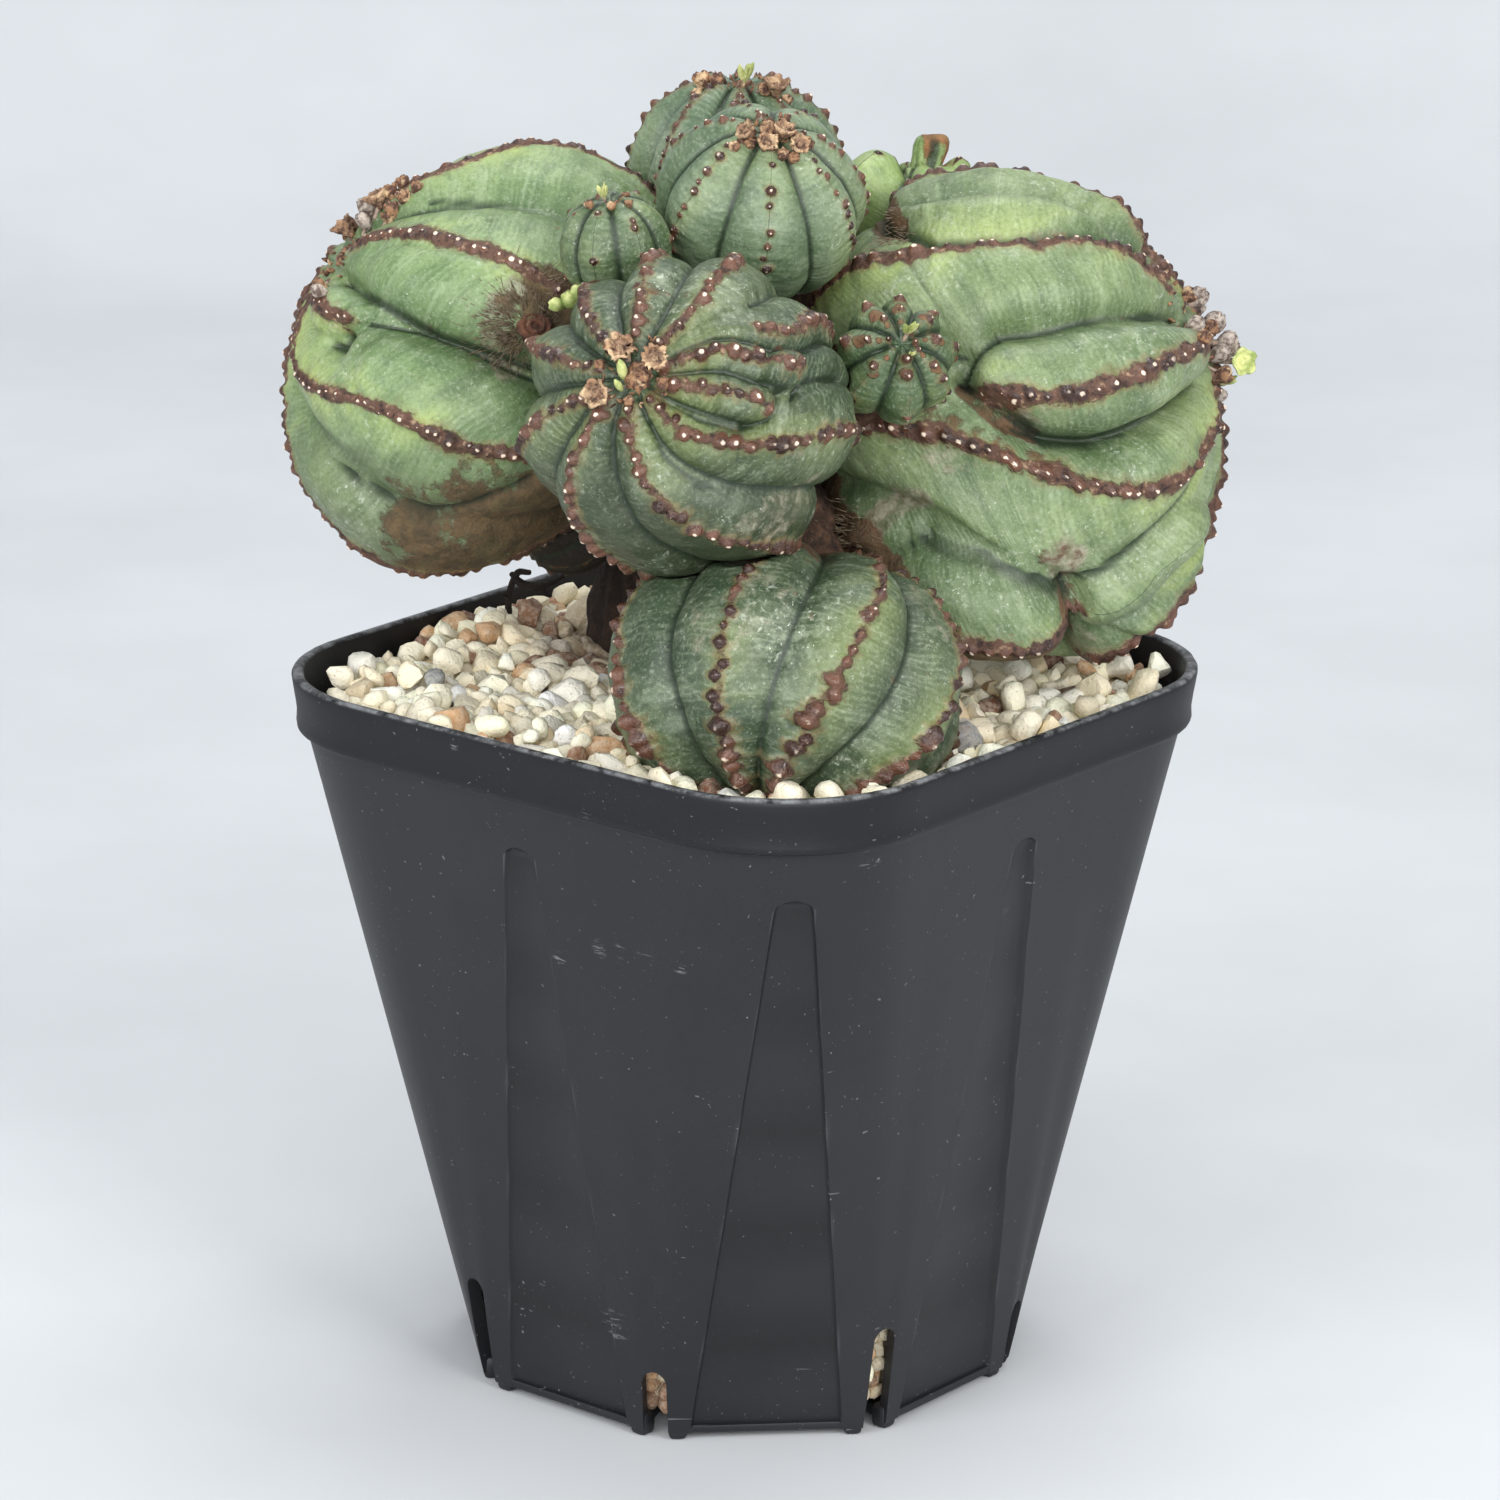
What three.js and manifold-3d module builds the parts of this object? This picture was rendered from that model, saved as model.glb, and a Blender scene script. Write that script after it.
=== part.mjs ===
// Baseball plant: a clump of ribbed succulent heads on a woody stem, in a square-topped slit pot
// filled with gravel.  Millimetres, +Z up, origin at the middle of the pot's underside.
// The pot stands with a corner towards -Y.
import * as THREE from 'three';
import { mergeVertices } from 'three/addons/utils/BufferGeometryUtils.js';
import Module from 'manifold-3d';

const wasm = await Module();
wasm.setup();

// ---------------------------------------------------------------- driving dimensions

const POT_WIDTH = 150;          // across the flats of the square rim
const POT_HEIGHT = 147;         // ground to rim
const RIM_CORNER = 33;          // corner radius of the rim
const BAND_HEIGHT = 11.2;       // collar under the rim
const BAND_FOOT_WIDTH = 147.6;  // across the flats at the lower edge of the collar
const BODY_TOP_WIDTH = 145.4;   // across the flats just under the collar
const BASE_APOTHEM = 54.5;      // middle of the octagonal base to a side
const BASE_LIFT = 1.4;          // wall's lower edge above the ground
const WALL = 1.6;
const FLOOR = 2.0;
const PANEL_RECESS = 0.8;       // depth of the eight flat triangular panels
const PANEL_TOP = 0.92;         // where the panels end, as a share of the body's height
const PANEL_TOP_HALF = 1.2;     // half width of a panel at the top
const STRIP_FOOT = 7.0;         // half width of the strip between two panels, at the base
const SLIT_WIDTH = 5.3;
const SLIT_SHORT = 15.5;
const SLIT_LONG = 24;
const FOOT_SIZE = [4.0, 3.4, 2.6];
const PAD_RADIUS = 12;

const SOIL_TOP = 141;
const STONE = 1.1;              // height of the gravel's relief

const SEAT = 0.35;              // gap between pieces that press on each other
const WART_ROWS = 2;            // a wart on every second row of the crest
const KNOTS = [0, 30, 60, 90, 120, 150, 180];

// ---------------------------------------------------------------- small tools

const rad = Math.PI / 180;

function seeded(seed) {
  let state = seed;
  return () => {
    state = (state * 1664525 + 1013904223) % 4294967296;
    return state / 4294967296;
  };
}

/** Closed triangle mesh with shared vertices, faces turned outwards. */
function closed(geometry) {
  geometry.deleteAttribute('normal');
  geometry.deleteAttribute('uv');
  const welded = mergeVertices(geometry, 1e-4);
  const p = welded.attributes.position.array;
  const index = Array.from(welded.index.array);
  const kept = [];
  let volume = 0;
  for (let i = 0; i < index.length; i += 3) {
    const [a, b, c] = index.slice(i, i + 3);
    if (a === b || b === c || a === c) continue;
    kept.push(a, b, c);
    const A = new THREE.Vector3().fromArray(p, 3 * a);
    const B = new THREE.Vector3().fromArray(p, 3 * b);
    const C = new THREE.Vector3().fromArray(p, 3 * c);
    volume += A.dot(B.cross(C));
  }
  if (volume < 0) {
    for (let i = 0; i < kept.length; i += 3) [kept[i], kept[i + 1]] = [kept[i + 1], kept[i]];
  }
  welded.setIndex(kept);
  return welded;
}

function toSolid(geometry) {
  const g = closed(geometry);
  return new wasm.Manifold(new wasm.Mesh({
    numProp: 3,
    vertProperties: new Float32Array(g.attributes.position.array),
    triVerts: new Uint32Array(g.index.array),
  }));
}

function toGeometry(solid) {
  const mesh = solid.getMesh();
  const g = new THREE.BufferGeometry();
  g.setAttribute('position', new THREE.BufferAttribute(new Float32Array(mesh.vertProperties), 3));
  g.setIndex(new THREE.BufferAttribute(new Uint32Array(mesh.triVerts), 1));
  return g;
}

function join(solids) {
  return solids.reduce((all, next) => all.add(next));
}

function cut(solid, others) {
  return others.reduce((left, other) => left.subtract(other), solid);
}

/** The largest of the bodies that a cut leaves. */
function largest(solid) {
  const bodies = solid.decompose();
  return bodies.reduce((best, body) => (body.volume() > best.volume() ? body : best));
}

/** Replaces every vertex of a grid geometry by place(row share, column, row). */
function reshape(geometry, columns, place) {
  const position = geometry.attributes.position;
  for (let i = 0; i < position.count; i += 1) {
    const row = Math.floor(i / (columns + 1));
    const column = (i % (columns + 1)) % columns;
    position.setXYZ(i, ...place(row, column));
  }
  return geometry;
}

// ---------------------------------------------------------------- pot

const OCTANT = 360 / 8;
const STRIP_STEPS = [0.16, 0.33, 0.55];
const COLUMNS = 8 * (4 + STRIP_STEPS.length);

/** Point on the rounded square, at a share of the way from a corner's middle to a side's middle. */
function squarePoint(half, share, corner, side) {
  const radius = RIM_CORNER * half / (POT_WIDTH / 2);
  const straight = half - radius;
  const arc = radius * Math.PI / 4;
  const run = share * (arc + straight);
  const turn = Math.sign(side - corner) * 45 * rad * Math.min(run / arc, 1);
  const start = corner * OCTANT * rad - Math.PI / 2;
  const centre = straight * Math.SQRT2;
  const along = Math.max(run - arc, 0);
  const facing = start + turn;
  const ahead = facing + Math.sign(side - corner) * Math.PI / 2;
  return [
    centre * Math.cos(start) + radius * Math.cos(facing) + along * Math.cos(ahead),
    centre * Math.sin(start) + radius * Math.sin(facing) + along * Math.sin(ahead),
  ];
}

/** Point on the octagon near the corner between panel k and k + 1, share 0..1 across the strip. */
function octagonPoint(apothem, panel, share) {
  const foot = STRIP_FOOT;
  const half = apothem * Math.tan(22.5 * rad);
  const run = (2 * share - 1) * foot;
  const k = run < 0 ? panel : panel + 1;
  const along = run < 0 ? half + run : run - half;
  const round = Math.max(0, 1.2 - 0.5 * Math.abs(run));
  const facing = k * OCTANT * rad - Math.PI / 2;
  const out = apothem - round;
  return [
    out * Math.cos(facing) - along * Math.sin(facing),
    out * Math.sin(facing) + along * Math.cos(facing),
  ];
}

/**
 * One horizontal outline of the pot.  t is the share of the height from base to top;
 * straight lines run from the octagon to the rounded square.
 */
function potOutline(t, topHalf, inset, recess) {
  const points = [];
  const blend = (low, high) => [0, 1].map(i => low[i] + (high[i] - low[i]) * t);
  const whole = (POT_WIDTH / 2) * Math.PI / 4;
  for (let k = 0; k < 8; k += 1) {
    const facing = k * OCTANT * rad - Math.PI / 2;
    const edge = PANEL_TOP_HALF / whole;
    const corner = k % 2 === 0;
    const at = (panel, share, w) => {
      const [a, b] = corner ? [k, panel] : [panel, k];
      return blend(w, squarePoint(topHalf - inset, corner ? share : 1 - share, a, b));
    };
    const left = at(k - 1, edge, octagonPoint(BASE_APOTHEM - inset, k - 1, 1));
    const right = at(k + 1, edge, octagonPoint(BASE_APOTHEM - inset, k, 0));
    const sunk = point => [
      point[0] - recess * Math.cos(facing),
      point[1] - recess * Math.sin(facing),
    ];
    const nudge = (from, to) => from.map((v, i) => v + (to[i] - v) * 0.04);
    points.push(left, sunk(nudge(left, right)), sunk(nudge(right, left)), right);
    for (const share of STRIP_STEPS.map(s => (corner ? s : 1 - s)).sort((a, b) => a - b)) {
      points.push(at(k + 1, share, octagonPoint(BASE_APOTHEM - inset, k, share)));
    }
  }
  return points;
}

function latheOf(levels, place) {
  const profile = levels.map((_, i) => new THREE.Vector2(i + 1, i));
  const g = new THREE.LatheGeometry(profile, COLUMNS);
  const position = g.attributes.position;
  for (let i = 0; i < position.count; i += 1) {
    const column = Math.floor(i / levels.length) % COLUMNS;
    position.setXYZ(i, ...place(i % levels.length, column));
  }
  return g;
}

/** A closed skin through outlines; an outline of null stands for a point on the axis. */
function skin(levels) {
  return latheOf(levels, (row, column) => {
    const level = levels[row];
    if (!level.outline) return [0, 0, level.z];
    return [...level.outline[column], level.z];
  });
}

const BODY_TOP = POT_HEIGHT - BAND_HEIGHT;
const bodyShare = z => (z - BASE_LIFT) / (BODY_TOP - BASE_LIFT);
const bodyHeight = t => BASE_LIFT + t * (BODY_TOP - BASE_LIFT);
const topHalf = BODY_TOP_WIDTH / 2;

function slitCutter(corner, length) {
  const shape = new THREE.Shape();
  const half = SLIT_WIDTH / 2;
  shape.moveTo(-half, -3);
  shape.lineTo(half, -3);
  shape.lineTo(half, length - half);
  shape.absarc(0, length - half, half, 0, Math.PI, false);
  const g = new THREE.ExtrudeGeometry(shape, { depth: 18, bevelEnabled: false, curveSegments: 3 });
  const facing = corner * OCTANT * rad - Math.PI / 2 + 22.5 * rad;
  g.rotateX(Math.PI / 2);
  g.rotateZ(Math.PI / 2 + facing);
  const reach = BASE_APOTHEM / Math.cos(22.5 * rad) - 12;
  g.translate(reach * Math.cos(facing), reach * Math.sin(facing), 0);
  return toSolid(g);
}

function footBlock(corner, side) {
  const [width, depth, height] = FOOT_SIZE;
  const g = new THREE.BoxGeometry(depth, width, height);
  const facing = (corner + (side > 0 ? 1 : 0)) * OCTANT * rad - Math.PI / 2;
  const along = side > 0 ? -1 : 1;
  const half = BASE_APOTHEM * Math.tan(22.5 * rad) - SLIT_WIDTH * 0.55 - width / 2;
  g.translate(BASE_APOTHEM - depth / 2 - 0.1, along * half, height / 2);
  g.rotateZ(facing);
  return toSolid(g);
}

function makePot() {
  const outline = (z, inset, recess) => potOutline(bodyShare(z), topHalf, inset, recess);
  const band = half => potOutline(1, half, 0, 0);
  const panelTop = bodyHeight(PANEL_TOP);
  const shell = toSolid(skin([
    { z: BASE_LIFT },
    { z: BASE_LIFT, outline: outline(BASE_LIFT, 0, PANEL_RECESS) },
    { z: panelTop - 2, outline: outline(panelTop - 2, 0, PANEL_RECESS) },
    { z: panelTop, outline: outline(panelTop, 0, 0) },
    { z: BODY_TOP - 0.6, outline: outline(BODY_TOP - 0.6, 0, 0) },
    { z: BODY_TOP, outline: band(BAND_FOOT_WIDTH / 2) },
    { z: POT_HEIGHT - 1.2, outline: band(POT_WIDTH / 2) },
    { z: POT_HEIGHT, outline: band(POT_WIDTH / 2 - 0.7) },
    { z: POT_HEIGHT, outline: band(POT_WIDTH / 2 - 2.0) },
    { z: BODY_TOP - 1, outline: outline(BODY_TOP - 1, WALL + PANEL_RECESS, 0) },
    { z: BASE_LIFT + FLOOR, outline: outline(BASE_LIFT + FLOOR, WALL + PANEL_RECESS, 0) },
    { z: BASE_LIFT + FLOOR },
  ]));
  const slits = [...Array(8).keys()].map(k => slitCutter(k, k % 2 === 0 ? SLIT_LONG : SLIT_SHORT));
  const feet = [...Array(8).keys()].flatMap(k => [footBlock(k, -1), footBlock(k, 1)]);
  const pad = new THREE.CylinderGeometry(PAD_RADIUS, PAD_RADIUS, BASE_LIFT + 1, 20);
  pad.rotateX(Math.PI / 2);
  pad.translate(0, 0, (BASE_LIFT + 1) / 2);
  return join([cut(shell, slits), ...feet, toSolid(pad)]);
}

// ---------------------------------------------------------------- heads

/** Smooth angle through a rib's seven bearings. */
function bearing(rib, theta) {
  const at = rib.at;
  const x = Math.min(Math.max(theta / 30, 0), 5.9999);
  const i = Math.floor(x);
  const t = x - i;
  const slope = k => (k === 0 ? at[1] - at[0] : k === 6 ? at[6] - at[5] : (at[k + 1] - at[k - 1]) / 2);
  return (2 * t ** 3 - 3 * t ** 2 + 1) * at[i] + (t ** 3 - 2 * t ** 2 + t) * slope(i)
    + (3 * t ** 2 - 2 * t ** 3) * at[i + 1] + (t ** 3 - t ** 2) * slope(i + 1);
}

/** Rounded body of a head before its ribs: theta from the growing tip, lambda round the axis. */
function girth(head, theta, lambda) {
  const [ru, rv] = head.girth;
  const rise = theta < 90 ? head.rise[0] : head.rise[1];
  const wide = 1 / Math.hypot(Math.cos(lambda * rad) / ru, Math.sin(lambda * rad) / rv);
  const n = head.square;
  let r = ((Math.abs(Math.sin(theta * rad)) / wide) ** n
    + (Math.abs(Math.cos(theta * rad)) / rise) ** n) ** (-1 / n);
  for (const [st, sl, width, amount] of head.swells) {
    const dot = Math.cos(theta * rad) * Math.cos(st * rad)
      + Math.sin(theta * rad) * Math.sin(st * rad) * Math.cos((lambda - sl) * rad);
    const away = Math.acos(Math.min(Math.max(dot, -1), 1)) / rad;
    r += amount * Math.exp(-((away / width) ** 2));
  }
  return r;
}

const wrap = a => ((a % 360) + 540) % 360 - 180;

/** Radius with the ribs of one set cut in: flanks fall from each crest to a narrow groove. */
function ribbed(head, ribs, theta, lambda) {
  const base = girth(head, theta, lambda);
  let ahead = 360;
  let behind = 360;
  for (const rib of ribs) {
    const d = wrap(bearing(rib, theta) - lambda);
    if (d >= 0) ahead = Math.min(ahead, d); else ahead = Math.min(ahead, d + 360);
    if (d <= 0) behind = Math.min(behind, -d); else behind = Math.min(behind, 360 - d);
  }
  const gap = ahead + behind;
  const q = Math.min(ahead, behind) / Math.max(gap / 2, 1e-6);
  const halfWidth = base * Math.sin(theta * rad) * gap * rad / 2;
  const depth = head.depth * Math.tanh(halfWidth / head.spread);
  return base - depth * (head.ridge * q ** 1.3 + (1 - head.ridge) * q ** 3.5);
}

const smooth = x => {
  const t = Math.min(Math.max(x, 0), 1);
  return t * t * (3 - 2 * t);
};

/** Star-shaped surface of a head, with the ribs that start or stop part of the way. */
function headRadius(head, theta, lambda) {
  const whole = head.ribs.filter(rib => rib.from === undefined && rib.to === undefined);
  let r = ribbed(head, whole, theta, lambda);
  const partial = head.ribs.filter(rib => rib.from !== undefined || rib.to !== undefined);
  if (partial.length) {
    const full = ribbed(head, head.ribs, theta, lambda);
    let share = 0;
    for (const rib of partial) {
      const side = wrap(lambda - bearing(rib, theta));
      const curve = (side / 14) ** 2 * 4;
      const end = rib.to === undefined ? 1 : smooth((rib.to - curve - theta) / 5 + 0.5);
      const start = rib.from === undefined ? 1 : smooth((theta - rib.from - curve) / 5 + 0.5);
      const near = smooth(2.2 - Math.abs(side) / 16);
      share = Math.max(share, Math.min(end, start) * near);
    }
    r += (full - r) * share;
  }
  return r - head.dimple * Math.exp(-((theta / 11) ** 2));
}

function frameOf(head) {
  const a = new THREE.Vector3(...head.axis).normalize();
  const f = new THREE.Vector3(...head.front);
  const u = f.addScaledVector(a, -f.dot(a)).normalize();
  return [a, u, new THREE.Vector3().crossVectors(a, u)];
}

/** Point of a head's surface, lifted by a height. */
function onHead(head, theta, lambda, lift = 0) {
  const [a, u, v] = frameOf(head);
  const r = headRadius(head, theta, lambda) + lift;
  const s = Math.sin(theta * rad);
  return new THREE.Vector3(...head.centre)
    .addScaledVector(a, r * Math.cos(theta * rad))
    .addScaledVector(u, r * s * Math.cos(lambda * rad))
    .addScaledVector(v, r * s * Math.sin(lambda * rad));
}

/** Columns follow the crests and grooves; every second crest point carries a wart. */
function headGeometry(head, lift = 0) {
  const ribs = [...head.ribs].sort((p, q) => bearing(p, 90) - bearing(q, 90));
  const wide = [0, 0.13, 0.36, 0.5, 0.64, 0.87];
  const slim = [0, 0.2, 0.5, 0.8];
  const columns = [];
  ribs.forEach((rib, i) => {
    const next = ribs[(i + 1) % ribs.length];
    const turn = i === ribs.length - 1 ? 360 : 0;
    const gap = bearing(next, 90) + turn - bearing(rib, 90);
    for (const share of gap > head.wideGap ? wide : slim) {
      columns.push({ rib, next, turn, share });
    }
  });
  const g = new THREE.SphereGeometry(1, columns.length, head.rows);
  return reshape(g, columns.length, (row, column) => {
    const theta = 180 * row / head.rows;
    const { rib, next, turn, share } = columns[column];
    const from = bearing(rib, theta);
    const lambda = from + share * (bearing(next, theta) + turn - from);
    const inRange = theta > (rib.from ?? 14) && theta < (rib.to ?? 160);
    const wart = share === 0 && inRange && row % WART_ROWS === 1 ? head.wart : 0;
    return onHead(head, theta, lambda, lift + wart).toArray();
  });
}

/** Smooth hull of a head with a few large faces that clear its crests by head.clear. */
function hull(head, lift = 0) {
  const columns = 16;
  const rows = 10;
  const g = new THREE.SphereGeometry(1, columns, rows);
  const [a, u, v] = frameOf(head);
  return toSolid(reshape(g, columns, (row, column) => {
    const theta = 180 * row / rows;
    const lambda = 360 * column / columns;
    const r = girth(head, theta, lambda) + lift + head.clear;
    const s = Math.sin(theta * rad);
    return new THREE.Vector3(...head.centre)
      .addScaledVector(a, r * Math.cos(theta * rad))
      .addScaledVector(u, r * s * Math.cos(lambda * rad))
      .addScaledVector(v, r * s * Math.sin(lambda * rad))
      .toArray();
  }));
}

const rib = (...at) => ({ at });
const shortRib = (from, to, ...at) => ({ at, from, to });
const evenRibs = (count, first) => [...Array(count).keys()]
  .map(i => rib(...KNOTS.map(() => first + 360 * i / count)));

// Each rib's bearing round the head's axis, in degrees, at every 30 degrees from the growing tip.
const HEADS = {
  head_centre: {
    centre: [-17.7, -48.3, 211.4], axis: [-0.468, -0.722, 0.511], front: [-0.18, -0.49, -0.85],
    girth: [31, 32], rise: [28, 27], square: 2.2, swells: [],
    depth: 3.6, spread: 6, ridge: 0.25, dimple: 1.5, wart: 0.9, rows: 18, wideGap: 36, clear: 1.3,
    ribs: [
      rib(-40, -36, -31, -23, -12, -3, 5),
      rib(5, 6, 20, 37, 45, 51, 57),
      rib(36, 46, 68, 86, 92, 98, 103),
      shortRib(undefined, 55, 62, 80, 81, 98, 104, 108, 112),
      shortRib(undefined, 62, 88, 110, 99, 112, 116, 118, 122),
      shortRib(48, undefined, 110, 126, 117, 128, 130, 132, 134),
      rib(130, 145, 157, 169, 176, 182, 187),
      rib(181, 186, 191, 196, 200, 204, 207),
      rib(232, 226, 222, 221, 221, 222, 223),
      rib(278, 261, 252, 248, 247, 246, 246),
      rib(308, 295, 290, 286, 283, 281, 280),
    ],
  },
  head_front: {
    centre: [2.1, -49.6, 158.1], axis: [-0.184, -0.516, -0.836], front: [-0.058, -0.844, 0.534],
    girth: [34, 35.5], rise: [27, 26], square: 2.2, swells: [],
    depth: 3.4, spread: 6, ridge: 0.25, dimple: 1.0, wart: 1.1, rows: 18, wideGap: 36, clear: 1.4,
    ribs: [
      rib(-142, -144, -148, -155, -158, -160, -161),
      rib(-96, -99, -103, -110, -113, -115, -116),
      rib(-48, -52, -57, -65, -67, -68, -69),
      rib(9, -1, -10, -20, -33, -50, -65),
      rib(23, 23, 24, 23, 20, 18, 16),
      rib(78, 73, 67, 70, 73, 76, 79),
      rib(124, 120, 117, 114, 112, 110, 110),
      rib(174, 170, 166, 160, 157, 155, 154),
    ],
  },
  head_left: {
    centre: [-52.6, 20.2, 202.2], axis: [-0.759, 0.049, 0.65], front: [0.041, -0.992, 0.123],
    girth: [42, 45.5], rise: [40, 34], square: 2.3,
    swells: [[90, 90, 35, 6.5], [50, -90, 35, -4.5], [130, -90, 35, -4]],
    depth: 5, spread: 8, ridge: 0.45, dimple: 1.5, wart: 1.1, rows: 18, wideGap: 34, clear: 2.25,
    ribs: [
      rib(-150, -118, -84, -78, -62, -46, -34),
      rib(-105, -80, -28, -15, 3, 18, 30),
      shortRib(undefined, 39, -45, -24, 3, 11, 22, 31, 38),
      rib(22, 30, 35, 38, 41, 44, 46),
      rib(105, 80, 86, 84, 77, 70, 64),
      rib(150, 128, 130, 128, 122, 116, 112),
      rib(185, 178, 178, 177, 172, 166, 162),
      rib(198, 218, 226, 229, 236, 242, 247),
    ],
  },
  head_right: {
    centre: [49.7, 4.3, 196.1], axis: [0.865, -0.187, 0.467], front: [-0.29, -0.943, 0.16],
    girth: [44, 52.5], rise: [47, 38], square: 2.3,
    swells: [[50, 90, 35, -4.5], [90, 90, 35, 4.5], [130, 90, 35, -4], [50, -90, 35, -3],
      [118, -86, 26, -6]],
    depth: 6, spread: 8, ridge: 0.45, dimple: 1.5, wart: 1.2, rows: 20, wideGap: 34, clear: 2.4,
    ribs: [
      rib(-54, -54, -48, -54, -63, -70, -76),
      shortRib(undefined, 81, 20, 4, -2, -22, -42, -54, -63),
      rib(95, 64, 34, 0, -20, -38, -50),
      shortRib(85, undefined, 118, 88, 62, 53, 48, 22, 0),
      shortRib(undefined, 94, 135, 112, 84, 79, 90, 100, 108),
      rib(160, 150, 132, 127, 134, 140, 146),
      rib(195, 188, 178, 174, 176, 180, 186),
      rib(235, 228, 222, 220, 222, 224, 226),
      shortRib(undefined, 93, 275, 264, 265, 269, 267, 263, 258),
    ],
  },
  head_top: {
    centre: [0.1, -10.1, 244.9], axis: [0.053, -0.413, 0.909], front: [-0.126, -0.906, -0.404],
    girth: [20, 20.5], rise: [18, 20], square: 2.2, swells: [],
    depth: 2.2, spread: 4, ridge: 0.2, dimple: 1.2, wart: 0.7, rows: 14, wideGap: 30, clear: 0.45,
    ribs: [
      rib(-62, -54, -50, -54, -57, -60, -62),
      rib(6, 4, 4, 5, 5, 6, 6),
      rib(49, 54, 57, 64, 76, 86, 95),
      rib(96, 92, 89, 96, 104, 112, 118),
      rib(150, 148, 148, 150, 154, 158, 162),
      rib(205, 205, 205, 206, 208, 212, 216),
      rib(250, 252, 257, 262, 266, 269, 272),
    ],
  },
  head_top_back: {
    centre: [0, 34.2, 239.2], axis: [0.024, -0.056, 0.998], front: [-0.11, -0.993, -0.053],
    girth: [22, 22], rise: [21, 20], square: 2.2, swells: [],
    depth: 2.6, spread: 4, ridge: 0.3, dimple: 1.5, wart: 0.8, rows: 12, wideGap: 60, clear: 1.15,
    ribs: evenRibs(8, 0),
  },
  pup_left: {
    centre: [-29.6, -20.7, 239.2], axis: [-0.147, -0.168, 0.975], front: [-0.116, -0.976, -0.186],
    girth: [11, 11], rise: [10, 11], square: 2.2, swells: [],
    depth: 1.3, spread: 3, ridge: 0.2, dimple: 0.6, wart: 0.5, rows: 8, wideGap: 60, clear: 0.4,
    ribs: evenRibs(7, -20),
  },
  pup_right: {
    centre: [23, -40.9, 220], axis: [0.06, -0.814, 0.577], front: [-0.04, -0.58, -0.814],
    girth: [12, 12], rise: [10, 11], square: 2.2, swells: [],
    depth: 1.7, spread: 3, ridge: 0.2, dimple: 0.6, wart: 0.6, rows: 8, wideGap: 60, clear: 0.4,
    ribs: evenRibs(8, 10),
  },
  pup_back: {
    centre: [37, 38, 231], axis: [0.1, 0.05, 0.99], front: [0, -1, 0],
    girth: [14, 14], rise: [14, 14], square: 2.2, swells: [],
    depth: 2.2, spread: 4, ridge: 0.3, dimple: 0.8, wart: 1.0, rows: 10, wideGap: 60, clear: 1.3,
    ribs: evenRibs(6, 20),
  },
};

// ---------------------------------------------------------------- woody stem

/** Rounded limb along a smooth line of points, with a radius at each of them. */
function limb(points, radii, lift = 0, sides = 8) {
  const curve = new THREE.CatmullRomCurve3(points.map(p => new THREE.Vector3(...p)));
  const rows = 2 * (points.length - 1) + 2;
  const side = new THREE.Vector3(1, 0.3, 0);
  const g = new THREE.SphereGeometry(1, sides, rows);
  return toSolid(reshape(g, sides, (row, column) => {
    const t = Math.min(Math.max((row - 1) / (rows - 2), 0), 1);
    const x = t * (radii.length - 1);
    const i = Math.min(Math.floor(x), radii.length - 2);
    const end = row === 0 || row === rows;
    const r = end ? 0 : radii[i] + (radii[i + 1] - radii[i]) * (x - i) + lift;
    const tangent = curve.getTangent(t);
    const n = side.clone().addScaledVector(tangent, -side.dot(tangent)).normalize();
    const b = new THREE.Vector3().crossVectors(tangent, n);
    const angle = 2 * Math.PI * column / sides;
    const knot = 1 + 0.06 * Math.sin(3 * angle + 2 * row);
    const beyond = (end ? 2 : 0) + (row <= 1 || row >= rows - 1 ? lift : 0);
    return curve.getPoint(t)
      .addScaledVector(n, r * knot * Math.cos(angle))
      .addScaledVector(b, r * knot * Math.sin(angle))
      .addScaledVector(tangent, row <= 1 ? -beyond : beyond)
      .toArray();
  }));
}

const LIMBS = [
  [[[-9, 46, 96], [-9, 44, 141], [-6, 30, 180], [-3, 22, 214], [-1, 30, 226]], [9, 16, 15, 12, 8]],
  [[[-6, 26, 172], [-22, 20, 180], [-34, 20, 188]], [12, 11, 9]],
  [[[-4, 26, 172], [10, 14, 178], [24, 8, 184]], [12, 12, 10]],
  [[[-4, 20, 196], [-4, -8, 200], [-8, -24, 202]], [10, 9, 8]],
  [[[2, 14, 182], [8, -12, 180], [7, -30, 174]], [10, 9, 8]],
  [[[-3, 20, 214], [-2, 4, 222], [-1, -2, 230]], [9, 8, 7]],
  [[[-6, 10, 212], [-18, -8, 220], [-27, -18, 230]], [7, 6, 4]],
  [[[4, 0, 196], [16, -22, 206], [21, -32, 212]], [7, 6, 4]],
  [[[2, 24, 212], [20, 34, 218], [32, 38, 222]], [8, 7, 5]],
];

// ---------------------------------------------------------------- dried flower stalks and buds

/** Cup of a dried flower cluster, standing on the origin along +Z. */
function cup(size) {
  const profile = [[0, -1], [0.8, -1], [0.9, 1.0], [1.5, 2.3], [0.6, 1.5], [0, 1.4]];
  const g = new THREE.LatheGeometry(profile.map(([x, y]) => new THREE.Vector2(x, y)), 5);
  g.rotateX(Math.PI / 2);
  g.scale(size, size, size);
  return g;
}

function bud(size) {
  const g = new THREE.SphereGeometry(1, 6, 3);
  g.scale(size, size, size * 1.25);
  return g;
}

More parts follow.
